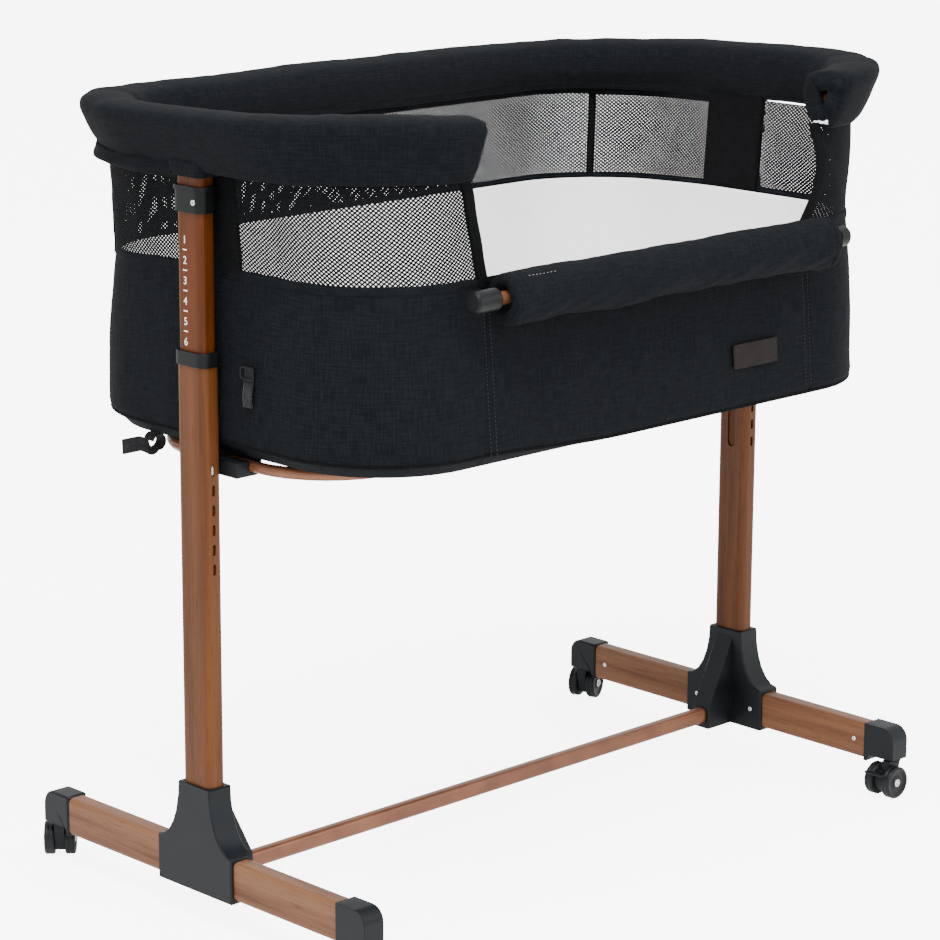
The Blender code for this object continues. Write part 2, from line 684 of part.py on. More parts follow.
# ---------------------------------------------------------------- posts
def outer_post(side):
    """Outer tube with the lock slots at the front and the long slot on its inner face."""
    s = SIDES[side]
    place = Matrix.Translation((s * POST_X, 0, 0))
    post = extruded(f"outer_post_{side}", [post_outline(), post_outline(-POST_WALL)],
                    FOOT_TOP + FIT * 2, POST_TOP, "Z", place)
    for level in range(LEVELS):
        slot = extruded(f"lock_slot_{level + 1}_{side}",
                        [rounded(LOCK_SLOT_WIDE / 2, LOCK_SLOT_TALL / 2, LOCK_SLOT_WIDE / 2, 2,
                                 (0, LOCK_TOP - level * LEVEL_PITCH))],
                        -POST_WIDE / 2 - CUT_PAST, -POST_WIDE / 2 + POST_WALL + INNER_PLAY_Y, "Y",
                        place, cutter=True)
        cut(post, slot)
    arm_low = RING_Z - BRACKET_ARM_TALL / 2
    low = arm_low - TRAVEL - GUIDE_ROOM
    high = arm_low + BRACKET_ARM_TALL + GUIDE_ROOM
    slot_x = sorted((-s * (POST_THICK / 2 + CUT_PAST),
                     -s * (POST_THICK / 2 - POST_WALL - INNER_PLAY_X)))
    guide = extruded(f"guide_slot_{side}",
                     [rounded(GUIDE_SLOT_WIDE / 2, (high - low) / 2, GUIDE_SLOT_WIDE / 2, 3,
                              (0, (low + high) / 2))],
                     *slot_x, "X", place, cutter=True)
    cut(post, guide)
    return finish(post, "wood_grain")


def inner_post(side):
    """Inner tube, which carries the rim, with a window for the lock button."""
    s = SIDES[side]
    place = Matrix.Translation((s * POST_X, 0, 0))
    post = extruded(f"inner_post_{side}", [inner_outline(), inner_outline(-INNER_WALL)],
                    INNER_BOTTOM, INNER_TOP, "Z", place)
    window = block(f"button_window_{side}",
                   (-BUTTON_WIDE / 2 - FIT, -INNER_WIDE / 2 - CUT_PAST, LOCK_TOP - BUTTON_TALL / 2 - FIT),
                   (BUTTON_WIDE / 2 + FIT, -INNER_WIDE / 2 + INNER_WALL + CUT_PAST,
                    LOCK_TOP + BUTTON_TALL / 2 + FIT), place, cutter=True)
    cut(post, window)
    return finish(post, "wood_grain")


def lock_button(side):
    """Spring button: a nose through the inner tube's window and a plate behind the wall."""
    s = SIDES[side]
    place = Matrix.Translation((s * POST_X, 0, LOCK_TOP))
    plate_front = -INNER_WIDE / 2 + INNER_WALL + FIT
    plate_back = plate_front + BUTTON_PLATE
    plate_half = INNER_THICK / 2 - INNER_ROUND - FIT     # flat part of the wall
    nose = block(f"lock_button_{side}",
                 (-BUTTON_WIDE / 2, -INNER_WIDE / 2 - BUTTON_PROUD, -BUTTON_TALL / 2),
                 (BUTTON_WIDE / 2, plate_back - BUTTON_PLATE / 3, BUTTON_TALL / 2), place)
    plate = block(f"button_plate_{side}", (-plate_half, plate_front, -0.008),
                  (plate_half, plate_back, 0.008), place)
    join(nose, plate)
    return finish(nose, "white_plastic")


def collar(side):
    """Guide collar on the outer tube's top, with the inner tube running through it."""
    place = Matrix.Translation((SIDES[side] * POST_X, 0, 0))
    ring = extruded(f"post_collar_{side}", [post_outline(COLLAR_WALL)], COLLAR_LOW,
                    COLLAR_HIGH, "Z", place)
    round_edges(ring, 0.001)
    seat = extruded(f"collar_seat_{side}", [post_outline(FIT)], COLLAR_LOW - CUT_PAST,
                    POST_TOP + FIT, "Z", place, cutter=True)
    bore = extruded(f"collar_bore_{side}", [inner_outline(FIT)], POST_TOP - CUT_PAST,
                    COLLAR_HIGH + CUT_PAST, "Z", place, cutter=True)
    cut(ring, seat, bore)
    return finish(ring, "charcoal_plastic")


def post_clamp(side):
    """Clamp band on the inner tube, with a lip round its top."""
    place = Matrix.Translation((SIDES[side] * POST_X, 0, 0))
    band = extruded(f"post_clamp_{side}", [inner_outline(BAND_WALL)], BAND_LOW,
                    BAND_HIGH - BAND_LIP_TALL + BAND_MERGE, "Z", place)
    lip = extruded(f"clamp_lip_{side}", [inner_outline(BAND_WALL + BAND_LIP)],
                   BAND_HIGH - BAND_LIP_TALL, BAND_HIGH, "Z", place)
    bore = extruded(f"clamp_bore_{side}", [inner_outline(FIT)], BAND_LOW - CUT_PAST,
                    BAND_HIGH + CUT_PAST, "Z", place, cutter=True)
    join(band, lip)
    cut(band, bore)
    return finish(band, "charcoal_plastic")


def head_plug(side):
    """Head block between the inner tube and the rim tube, plugged into the inner tube."""
    s = SIDES[side]
    place = Matrix.Translation((s * POST_X, 0, 0))
    block_top = RIM_TUBE_Z - HEAD_BELOW_TUBE
    head = extruded(f"head_plug_{side}", [inner_outline(HEAD_OVER)],
                    INNER_TOP + FIT, block_top, "Z", place)
    plug = extruded(f"head_tongue_{side}", [inner_outline(-INNER_WALL - FIT)],
                    INNER_TOP - HEAD_PLUG_DEPTH, INNER_TOP + HEAD_MERGE, "Z", place)
    saddle = swept(f"head_saddle_{side}",
                   [(s * RIM_HALF_LENGTH, -0.05, RIM_TUBE_Z), (s * RIM_HALF_LENGTH, 0.05, RIM_TUBE_Z)],
                   RIM_TUBE_RADIUS + 2 * FIT, cutter=True, facets=4)
    join(head, plug)
    cut(head, saddle)
    return finish(head, "charcoal_plastic")


# ---------------------------------------------------------------- lower ring and brackets
def lower_ring():
    route = tub_loop(RING_HALF_LENGTH, RING_HALF_WIDTH, RING_CORNER, RING_Z)
    return finish(swept("lower_ring", route, RING_RADIUS, closed=True), "copper_tube")


def lower_bracket(side):
    """Bracket round the ring, with an arm through the outer tube's long slot."""
    s = SIDES[side]
    place = Matrix.Translation((s * POST_X, 0, RING_Z))
    outer = POST_THICK / 2 + FIT
    inner = RING_HALF_LENGTH_IN + RING_RADIUS + BRACKET_LIP
    top = RING_RADIUS + FIT
    low = -RING_RADIUS - BRACKET_UNDER
    outline = [(outer, low), (inner - BRACKET_SLOPE, low), (inner, low + BRACKET_SLOPE),
               (inner, top),
               (outer, top)]
    body = extruded(f"lower_bracket_{side}", [[(-s * u, v) for u, v in outline]],
                    -BRACKET_WIDE / 2, BRACKET_WIDE / 2, "Y", place)
    arm_x = sorted((-s * (INNER_THICK / 2 + FIT), -s * (outer + BRACKET_LIP)))
    half_tall = BRACKET_ARM_TALL / 2
    arm = block(f"bracket_arm_{side}", (arm_x[0], -BRACKET_ARM_WIDE / 2, -half_tall),
                (arm_x[1], BRACKET_ARM_WIDE / 2, half_tall), place)
    join(body, arm)
    straight = RING_HALF_WIDTH - RING_CORNER
    ring_x = s * RING_HALF_LENGTH
    groove = swept(f"ring_groove_{side}", [(ring_x, -straight, RING_Z), (ring_x, straight, RING_Z)],
                   RING_RADIUS + FIT, cutter=True)
    mouth = block(f"ring_mouth_{side}", (-RING_RADIUS - FIT, -straight, 0),
                  (RING_RADIUS + FIT, straight, 0.02),
                  Matrix.Translation((ring_x, 0, RING_Z)), cutter=True)
    cut(body, groove, mouth)
    return finish(body, "charcoal_plastic")


# ---------------------------------------------------------------- soft pieces
def loft(name, rings, thickness, closed=True, floor=False, outwards=False):
    """A wall through matching rings of points, with an optional floor, made solid."""
    mesh = bpy.data.meshes.new(name)
    shape = bmesh.new()
    chains = []
    for ring in rings:
        verts = [shape.verts.new(point) for point in ring]
        pairs = list(zip(verts, verts[1:])) + ([(verts[-1], verts[0])] if closed else [])
        chains.append([shape.edges.new(pair) for pair in pairs])
    if floor:
        bmesh.ops.contextual_create(shape, geom=chains[0])
    for first, second in zip(chains, chains[1:]):
        bmesh.ops.bridge_loops(shape, edges=first + second)
    bmesh.ops.recalc_face_normals(shape, faces=shape.faces)
    middle = sum((face.calc_center_median() for face in shape.faces), Vector()) / len(shape.faces)
    side_face = max(shape.faces, key=lambda face: face.calc_center_median().y)
    if (side_face.calc_center_median() - middle).dot(side_face.normal) < 0:
        bmesh.ops.reverse_faces(shape, faces=shape.faces)
    shape.to_mesh(mesh)
    shape.free()
    made = new_object(name, mesh)
    shell = made.modifiers.new("wall", "SOLIDIFY")
    shell.thickness = thickness
    shell.offset = 1 if outwards else -1
    shell.use_even_offset = True
    return made


def tub_level(z):
    """Half length, half width and corner radius of the tub's outside at a height."""
    low_z = TUB_FLOOR + TUB_EDGE
    share = (z - low_z) / (TUB_TOP - low_z)
    low = Vector((TUB_HALF_LENGTH_LOW, TUB_HALF_WIDTH_LOW, TUB_CORNER_LOW))
    top = Vector((TUB_HALF_LENGTH_TOP, TUB_HALF_WIDTH_TOP, TUB_CORNER_TOP))
    return tuple(low.lerp(top, share))


def tub_ring(z, inset=0.0):
    length, width, corner = tub_level(z)
    return tub_loop(length - inset, width - inset, corner - inset, z)


def tub_shell():
    floor = tub_loop(TUB_HALF_LENGTH_LOW - TUB_EDGE, TUB_HALF_WIDTH_LOW - TUB_EDGE,
                     TUB_CORNER_LOW - TUB_EDGE, TUB_FLOOR)
    rings = [floor, tub_ring(TUB_FLOOR + TUB_EDGE), tub_ring(TUB_TOP)]
    return finish(loft("tub_shell", rings, TUB_WALL, floor=True), "charcoal_fabric")


BOARD_LOW = TUB_FLOOR + TUB_WALL + FIT
MATTRESS_LOW = BOARD_LOW + BOARD_THICK + FIT


def floor_outline(inset):
    length = TUB_HALF_LENGTH_LOW - TUB_EDGE - inset
    width = TUB_HALF_WIDTH_LOW - TUB_EDGE - inset
    return rounded(length, width, TUB_CORNER_LOW - TUB_EDGE - inset, PLAN_STEPS)


def base_board():
    board = extruded("base_board", [floor_outline(SOFT_GAP + BOARD_INSET)], BOARD_LOW,
                     BOARD_LOW + BOARD_THICK)
    return finish(board, "board")


def mattress():
    inset = SOFT_GAP + TUB_WALL + LINER_WALL
    pad = extruded("mattress", [floor_outline(inset + SOFT_GAP)], MATTRESS_LOW,
                   MATTRESS_LOW + MATTRESS_THICK)
    round_edges(pad, 0.008, 2)
    return finish(pad, "white_fabric")


def inner_liner():
    inset = TUB_WALL + FIT * 2
    low = MATTRESS_LOW + LINER_START
    liner = loft("inner_liner", [tub_ring(low, inset), tub_ring(LINER_TOP, inset)], LINER_WALL)
    return finish(liner, "white_fabric")


def mesh_wall():
    """Thin wall from the tub's top edge up to the rim, open at the front."""
    low = rim_route(*tub_level(TUB_TOP), OPENING_HALF, TUB_TOP + SOFT_GAP / 2)
    high = rim_route(RIM_HALF_LENGTH - MESH_TOP_IN, RIM_HALF_WIDTH - MESH_TOP_IN / 2,
                     MESH_CORNER_TOP, OPENING_HALF, RIM_BOTTOM - SOFT_GAP / 2)
    return finish(loft("mesh_wall", [low, high], MESH_WALL, closed=False), "black_mesh")


def rim_section():
    """Inverted drop: narrow below, widest and rounded at the top. u is outwards."""
    side_z = RIM_TOP - RIM_CROWN
    section = [(-RIM_FOOT_IN, RIM_BOTTOM), (RIM_FOOT_OUT, RIM_BOTTOM)]
    section += arc((0.0, side_z), RIM_OUT, RIM_TOP - side_z, -12, 90, 4)
    section += arc((0.0, side_z), RIM_IN, RIM_TOP - side_z, 90, 192, 4)[1:]
    return section


def rim_pad():
    """Padded roll round the rim tube, with a tunnel for the tube and post notches."""
    section = bpy.data.curves.new("rim_section", "CURVE")
    section.dimensions = "2D"
    spline = section.splines.new("POLY")
    outline = rim_section()
    spline.points.add(len(outline) - 1)
    for point, (u, z) in zip(spline.points, outline):
        point.co = (-u, z - RIM_TUBE_Z, 0, 1)
    spline.use_cyclic_u = True
    profile = bpy.data.objects.new("rim_section", section)
    cutters.objects.link(hide_cutter(profile))

    curve = bpy.data.curves.new("rim_pad", "CURVE")
    curve.dimensions = "3D"
    curve.twist_mode = "Z_UP"
    curve.bevel_mode = "OBJECT"
    curve.bevel_object = profile
    curve.use_fill_caps = True
    route = rim_route(RIM_HALF_LENGTH, RIM_HALF_WIDTH, RIM_CORNER, OPENING_HALF, RIM_TUBE_Z)
    line = curve.splines.new("POLY")
    line.points.add(len(route) - 1)
    for point, place in zip(line.points, route):
        point.co = (*place, 1)
    guide = bpy.data.objects.new("rim_pad", curve)
    parts.objects.link(guide)
    pad = new_object("rim_pad", mesh_of(guide, "rim_pad"))

    tunnel_route = rim_route(RIM_HALF_LENGTH, RIM_HALF_WIDTH, RIM_CORNER,
                             OPENING_HALF - CUT_PAST, RIM_TUBE_Z)
    cut(pad, swept("rim_tunnel", tunnel_route, RIM_TUNNEL, cutter=True))
    for side, s in SIDES.items():
        notch = extruded(f"rim_notch_{side}", [inner_outline(HEAD_OVER + 5 * FIT)],
                         RIM_BOTTOM - CUT_PAST, RIM_TUBE_Z, "Z",
                         Matrix.Translation((s * POST_X, 0, 0)), cutter=True)
        cut(pad, notch)
    return finish(pad, "charcoal_fabric")


def rim_tube():
    route = rim_route(RIM_HALF_LENGTH, RIM_HALF_WIDTH, RIM_CORNER, OPENING_HALF + RIM_TUBE_IN,
                      RIM_TUBE_Z)
    return finish(swept("rim_tube", route, RIM_TUBE_RADIUS), "copper_tube")


# ---------------------------------------------------------------- drop side
def rail_pieces():
    """Front rail tube with its padded mesh roll and an end hub on each side."""
    place = Matrix.Translation((0, RAIL_Y, RAIL_Z))
    half = HUB_INNER + HUB_SEAT - FIT
    rail = turned("front_rail", [(0, half), (RAIL_RADIUS, half), (RAIL_RADIUS, -half),
                                 (0, -half)], "X", place, steps=16)
    finish(rail, "copper_tube")
    bore = RAIL_RADIUS + FIT
    end = ROLL_HALF_LENGTH
    roll = turned("front_roll",
                  [(bore, end), (ROLL_RADIUS - ROLL_ROUND, end),
                   (ROLL_RADIUS, end - ROLL_ROUND_ALONG),
                   (ROLL_RADIUS, -end + ROLL_ROUND_ALONG),
                   (ROLL_RADIUS - ROLL_ROUND, -end), (bore, -end),
                   (bore, end)], "X", place, steps=24)
    finish(roll, "black_mesh")
    for side, s in SIDES.items():
        hub_end = HUB_OUTER[side]
        hub = turned(f"rail_hub_{side}",
                     [(0, hub_end), (HUB_RADIUS - HUB_EDGE, hub_end),
                      (HUB_RADIUS, hub_end - HUB_EDGE), (HUB_RADIUS, HUB_INNER),
                      (bore, HUB_INNER), (bore, HUB_INNER + HUB_SEAT),
                      (0, HUB_INNER + HUB_SEAT)], "X",
                     place @ Matrix.Rotation(0 if s > 0 else math.pi, 4, "Z"))
        finish(hub, "charcoal_plastic")


# ---------------------------------------------------------------- small pieces
def label():
    """Blank leather label on the front of the tub, lying along the wall's slope."""
    low_z = TUB_FLOOR + TUB_EDGE
    slope = math.atan2(TUB_HALF_WIDTH_LOW - TUB_HALF_WIDTH_TOP, TUB_TOP - low_z)
    width = tub_level(LABEL_Z)[1]
    place = (Matrix.Translation((LABEL_X, -width - FIT * 2, LABEL_Z))
             @ Matrix.Rotation(-slope, 4, "X"))
    tag = extruded("label", [rounded(LABEL_WIDE / 2, LABEL_TALL / 2, LABEL_ROUND, 2)],
                   -LABEL_THICK, 0, "Y", place)
    return finish(tag, "label_leather")


def anchor_strap():
    """Webbing looped round the ring's rear left corner, with its free tail sticking out."""
    angle = math.radians(180 - STRAP_ANGLE)
    centre = Vector((-(RING_HALF_LENGTH - RING_CORNER), RING_HALF_WIDTH - RING_CORNER, RING_Z))
    out = Vector((math.cos(angle), math.sin(angle), 0))
    spot = centre + out * RING_CORNER
    place = Matrix.Translation(spot) @ Matrix.Rotation(angle, 4, "Z")
    inner = RING_RADIUS + STRAP_SLACK
    outer = inner + STRAP_THICK
    loop = arc((0, 0), outer, outer, 25, 335, 14)
    hole = arc((0, 0), inner, inner, 0, 348, 16)
    tail_end = outer + STRAP_TAIL
    root = outer + STRAP_SLACK
    body = loop + [(root + STRAP_THICK, -STRAP_THICK), (tail_end, -STRAP_THICK - STRAP_DROOP),
                   (tail_end, -STRAP_DROOP), (root + STRAP_THICK, STRAP_THICK / 2)]
    strap = extruded("anchor_strap", [body, hole], -STRAP_WIDE / 2, STRAP_WIDE / 2, "Y", place)
    return finish(strap, "webbing")


# ---------------------------------------------------------------- build
for side_name in SIDES:
    foot_tube(side_name)
    t_joint(side_name)
    outer_post(side_name)
    collar(side_name)
    inner_post(side_name)
    lock_button(side_name)
    post_clamp(side_name)
    head_plug(side_name)
    lower_bracket(side_name)
    for end_name in ("front", "rear"):
        foot_cap(side_name, end_name)
        caster(side_name, end_name)
cross_bar()
lower_ring()
tub_shell()
base_board()
mattress()
inner_liner()
mesh_wall()
rim_tube()
rim_pad()
rail_pieces()
label()
anchor_strap()
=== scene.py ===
# %% [markdown]
# # A bedside bassinet on its stand
#
# The stand, the telescopic posts and the casters come in as fixed solids. This lesson
# gives them their finishes and makes the soft goods: the padded rim, the fabric tub,
# the mesh windows, the rolled drop side, and the small sewn and screwed-on pieces.
#
# The solids carry the sizes. Everything made here reads its place from them.

# %% Load the fixed solids and keep their box
import json
import math

import bmesh
import bpy
from mathutils import Matrix, Vector, noise


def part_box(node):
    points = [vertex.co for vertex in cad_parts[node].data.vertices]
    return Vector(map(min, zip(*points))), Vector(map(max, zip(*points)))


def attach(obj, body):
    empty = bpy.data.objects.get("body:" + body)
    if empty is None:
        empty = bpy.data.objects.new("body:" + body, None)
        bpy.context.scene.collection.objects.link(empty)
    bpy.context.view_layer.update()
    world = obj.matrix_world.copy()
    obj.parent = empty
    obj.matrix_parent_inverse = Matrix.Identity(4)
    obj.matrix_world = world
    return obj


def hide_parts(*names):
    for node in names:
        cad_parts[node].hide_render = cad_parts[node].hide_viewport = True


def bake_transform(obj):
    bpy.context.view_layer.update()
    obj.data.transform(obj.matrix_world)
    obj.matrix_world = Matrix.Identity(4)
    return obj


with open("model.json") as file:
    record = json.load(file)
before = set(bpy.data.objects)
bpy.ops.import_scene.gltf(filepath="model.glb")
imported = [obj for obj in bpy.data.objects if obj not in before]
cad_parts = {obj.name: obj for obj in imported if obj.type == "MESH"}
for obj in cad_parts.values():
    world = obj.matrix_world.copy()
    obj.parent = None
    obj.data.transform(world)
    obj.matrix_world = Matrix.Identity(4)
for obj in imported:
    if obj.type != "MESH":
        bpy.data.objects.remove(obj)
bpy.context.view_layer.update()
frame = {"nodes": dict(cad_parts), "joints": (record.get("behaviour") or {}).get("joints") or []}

# %% [markdown]
# ## Camera, floor and light
#
# A product picture is taken with a long lens from a little above. The floor and the
# surroundings are pale, and two broad soft lamps and a bright sky leave almost no
# shadow. The camera comes first, so each later piece can be looked at as it is made.

# %% Camera
view_from = Vector((-2.5605, -2.5792, 1.3113))
azimuth, elevation, roll = math.radians(-44.44), math.radians(13.82), math.radians(0.262)
camera_data = bpy.data.cameras.new("product camera")
camera_data.lens = 128.37
camera_data.sensor_width = 36
camera = bpy.data.objects.new("product camera", camera_data)
bpy.context.scene.collection.objects.link(camera)
turn = (Matrix.Rotation(azimuth, 4, "Z") @ Matrix.Rotation(math.pi / 2 - elevation, 4, "X")
        @ Matrix.Rotation(roll, 4, "Z"))
camera.matrix_world = Matrix.Translation(view_from) @ turn
bpy.context.scene.camera = camera
print("camera looks from", tuple(round(v, 2) for v in view_from))

# %% Floor, sky and lamps
floor_mesh = bpy.data.meshes.new("floor")
floor_shape = bmesh.new()
bmesh.ops.create_grid(floor_shape, x_segments=1, y_segments=1, size=30)
floor_shape.to_mesh(floor_mesh)
floor_shape.free()
floor = bpy.data.objects.new("floor", floor_mesh)
floor.location.z = -0.0005
bpy.context.scene.collection.objects.link(floor)
floor_paint = bpy.data.materials.new("pale floor")
floor_paint.use_nodes = True
floor_tree = floor_paint.node_tree
floor_shader = floor_tree.nodes["Principled BSDF"]
floor_shader.inputs["Base Color"].default_value = (0.93, 0.93, 0.93, 1)
floor_shader.inputs["Roughness"].default_value = 0.9
floor_shader.inputs["Emission Strength"].default_value = 6.0
seen = floor_tree.nodes.new("ShaderNodeLightPath")          # the glow is for the camera alone
glow = floor_tree.nodes.new("ShaderNodeMix")
glow.data_type = "RGBA"
glow.inputs["A"].default_value = (0.05, 0.05, 0.05, 1)
glow.inputs["B"].default_value = (1, 1, 1, 1)
floor_tree.links.new(seen.outputs["Is Camera Ray"], glow.inputs["Factor"])
floor_tree.links.new(glow.outputs["Result"], floor_shader.inputs["Emission Color"])
floor_mesh.materials.append(floor_paint)

sky = bpy.data.worlds.new("soft white sky")
sky.use_nodes = True
sky.node_tree.nodes["Background"].inputs["Color"].default_value = (1, 1, 1, 1)
sky.node_tree.nodes["Background"].inputs["Strength"].default_value = 1.6
bpy.context.scene.world = sky


def softbox(name, place, aim, size, power):
    """A square area lamp at a place, aimed at a point."""
    data = bpy.data.lights.new(name, "AREA")
    data.shape = "SQUARE"
    data.size = size
    data.energy = power
    lamp = bpy.data.objects.new(name, data)
    lamp.location = place
    lamp.rotation_euler = (Vector(aim) - Vector(place)).to_track_quat("-Z", "Y").to_euler()
    bpy.context.scene.collection.objects.link(lamp)
    return lamp


softbox("key softbox", (-1.2, -1.0, 3.2), (0, 0, 0.5), 1.8, 170)
softbox("fill softbox", (1.6, -3.0, 2.0), (0, 0, 0.5), 2.0, 45)

# %% [markdown]
# ## Shared effects as node groups
#
# Several finishes use the same effect: a weave, a wood print, a fine moulded grain.
# Each is built once as a node group with named inputs, and every material that wants it
# places a copy with its own values. A group only gives out colours, masks and heights
# that vary over the surface. The shader itself stays in the material.

# %% Small helpers for node trees
def group_tree(name, inputs, outputs):
    """A shader node group with its sockets, its node list and its two end nodes."""
    tree = bpy.data.node_groups.new(name, "ShaderNodeTree")
    for label, kind, value in inputs:
        socket = tree.interface.new_socket(label, in_out="INPUT", socket_type=kind)
        if value is not None:
            socket.default_value = value
    for label, kind in outputs:
        tree.interface.new_socket(label, in_out="OUTPUT", socket_type=kind)
    start = tree.nodes.new("NodeGroupInput")
    end = tree.nodes.new("NodeGroupOutput")
    return tree, start.outputs, end.inputs


def add(tree, kind, links=None, **settings):
    """A node with its properties set, and its inputs linked or given values."""
    node = tree.nodes.new(kind)
    for key, value in settings.items():
        setattr(node, key, value)
    for key, value in (links or {}).items():
        if isinstance(value, bpy.types.NodeSocket):
            tree.links.new(value, node.inputs[key])
        else:
            node.inputs[key].default_value = value
    return node


def calc(tree, operation, first, second=0.0, clamp=False):
    """The output of a math node."""
    node = add(tree, "ShaderNodeMath", {0: first, 1: second}, operation=operation, use_clamp=clamp)
    return node.outputs[0]


def blend_colours(tree, share, first, second, how="MIX"):
    """The output of a colour mix node."""
    node = add(tree, "ShaderNodeMix", data_type="RGBA", blend_type=how)
    for index, value in ((0, share), (6, first), (7, second)):
        if isinstance(value, bpy.types.NodeSocket):
            tree.links.new(value, node.inputs[index])
        else:
            node.inputs[index].default_value = value
    return node.outputs[2]


FLOAT, COLOUR, VECTOR = "NodeSocketFloat", "NodeSocketColor", "NodeSocketVector"

# %% The weave: two sets of threads passing over and under each other
def make_weave():
    tree, given, out = group_tree("woven threads", [
        ("Vector", VECTOR, None), ("Threads", FLOAT, 900.0), ("Dark", COLOUR, (0, 0, 0, 1)),
        ("Light", COLOUR, (1, 1, 1, 1)), ("Fleck", FLOAT, 0.5)],
        [("Color", COLOUR), ("Height", FLOAT), ("Mask", FLOAT)])
    parts = add(tree, "ShaderNodeSeparateXYZ", {0: given["Vector"]}).outputs
    turns = calc(tree, "MULTIPLY", given["Threads"], math.pi)
    across = calc(tree, "SINE", calc(tree, "MULTIPLY", parts["X"], turns))
    along = calc(tree, "SINE", calc(tree, "MULTIPLY", parts["Y"], turns))
    crossing = calc(tree, "MULTIPLY", across, along)
    height = calc(tree, "MULTIPLY_ADD", crossing, 0.5)
    tree.nodes[-1].inputs[2].default_value = 0.5
    streaks = []
    for stretch in ((520.0, 46.0, 1.0), (46.0, 520.0, 1.0)):
        long_way = add(tree, "ShaderNodeVectorMath", {0: given["Vector"], 1: stretch},
                       operation="MULTIPLY").outputs[0]
        streaks.append(add(tree, "ShaderNodeTexNoise", {"Vector": long_way, "Scale": 1.0,
                                                        "Detail": 3.0, "Roughness": 0.6}).outputs[0])
    slubs = calc(tree, "MULTIPLY", calc(tree, "ADD", streaks[0], streaks[1]), 0.5)
    mask = calc(tree, "SUBTRACT", slubs, 0.42)
    mask = calc(tree, "MULTIPLY", mask, 5.0, clamp=True)
    mask = calc(tree, "MULTIPLY", mask, given["Fleck"], clamp=True)
    tree.links.new(blend_colours(tree, mask, given["Dark"], given["Light"]), out["Color"])
    tree.links.new(height, out["Height"])
    tree.links.new(mask, out["Mask"])
    return tree


weave_group = make_weave()

# %% The wood print: long rings, fine pores and slow bands
def make_wood():
    tree, given, out = group_tree("printed wood", [
        ("Vector", VECTOR, None), ("Dark", COLOUR, (0, 0, 0, 1)), ("Middle", COLOUR, (0.5, 0.5, 0.5, 1)),
        ("Light", COLOUR, (1, 1, 1, 1)), ("Contrast", FLOAT, 1.0)],
        [("Color", COLOUR), ("Height", FLOAT), ("Pores", FLOAT)])
    wander = add(tree, "ShaderNodeTexNoise", {"Vector": given["Vector"], "Scale": 22.0,
                                              "Detail": 2.0}).outputs[1]
    bent = add(tree, "ShaderNodeMix", data_type="VECTOR")
    tree.links.new(given["Vector"], bent.inputs[4])
    tree.links.new(wander, bent.inputs[5])
    bent.inputs[0].default_value = 0.012
    rings = add(tree, "ShaderNodeTexNoise", {"Vector": bent.outputs[1], "Scale": 170.0,
                                             "Detail": 5.0, "Roughness": 0.62,
                                             "Distortion": 0.35}).outputs[0]
    bands = add(tree, "ShaderNodeTexNoise", {"Vector": given["Vector"], "Scale": 48.0,
                                             "Detail": 1.5}).outputs[0]
    pores = add(tree, "ShaderNodeTexNoise", {"Vector": given["Vector"], "Scale": 820.0,
                                             "Detail": 2.0, "Roughness": 0.7}).outputs[0]
    pores = calc(tree, "MULTIPLY", calc(tree, "SUBTRACT", pores, 0.56), 7.0, clamp=True)
    rings = calc(tree, "MULTIPLY", calc(tree, "SUBTRACT", rings, 0.5), given["Contrast"])
    rings = calc(tree, "ADD", calc(tree, "MULTIPLY", rings, 3.2), 0.5, clamp=True)
    bands = calc(tree, "ADD", calc(tree, "MULTIPLY", calc(tree, "SUBTRACT", bands, 0.5), 2.2), 0.5,
                 clamp=True)
    base = blend_colours(tree, rings, given["Dark"], given["Middle"])
    base = blend_colours(tree, calc(tree, "MULTIPLY", bands, 0.6), base, given["Light"])
    base = blend_colours(tree, calc(tree, "MULTIPLY", pores, 0.55), base, given["Dark"])
    tree.links.new(base, out["Color"])
    tree.links.new(calc(tree, "SUBTRACT", rings, calc(tree, "MULTIPLY", pores, 0.6)), out["Height"])
    tree.links.new(pores, out["Pores"])
    return tree


wood_group = make_wood()

# %% The moulded grain: spark-eroded texture, soft flow marks and a little handling wear
def make_grain():
    tree, given, out = group_tree("moulded grain", [
        ("Vector", VECTOR, None), ("Scale", FLOAT, 900.0), ("Dark", COLOUR, (0, 0, 0, 1)),
        ("Light", COLOUR, (1, 1, 1, 1))],
        [("Color", COLOUR), ("Height", FLOAT), ("Roughness", FLOAT)])
    fine = add(tree, "ShaderNodeTexNoise", {"Vector": given["Vector"], "Scale": given["Scale"],
                                            "Detail": 3.0, "Roughness": 0.65}).outputs[0]
    slow = add(tree, "ShaderNodeTexNoise", {"Vector": given["Vector"], "Scale": 28.0,
                                            "Detail": 3.0}).outputs[0]
    share = calc(tree, "ADD", calc(tree, "MULTIPLY", slow, 0.75), calc(tree, "MULTIPLY", fine, 0.25))
    share = calc(tree, "MULTIPLY", calc(tree, "SUBTRACT", share, 0.3), 2.2, clamp=True)
    tree.links.new(blend_colours(tree, share, given["Dark"], given["Light"]), out["Color"])
    tree.links.new(fine, out["Height"])
    rough = calc(tree, "ADD", calc(tree, "MULTIPLY", slow, 0.28), 0.32)
    tree.links.new(rough, out["Roughness"])
    return tree


grain_group = make_grain()
print("node groups:", [tree.name for tree in bpy.data.node_groups])

# %% [markdown]
# ## Finishes
#
# A finish is a Principled shader with one of the groups in front of it. Hard parts read
# Object coordinates, because their solids keep their place in the mesh. Cloth reads its
# own UV map, laid out in metres along and up the cloth, so threads run with the cloth
# round every corner.

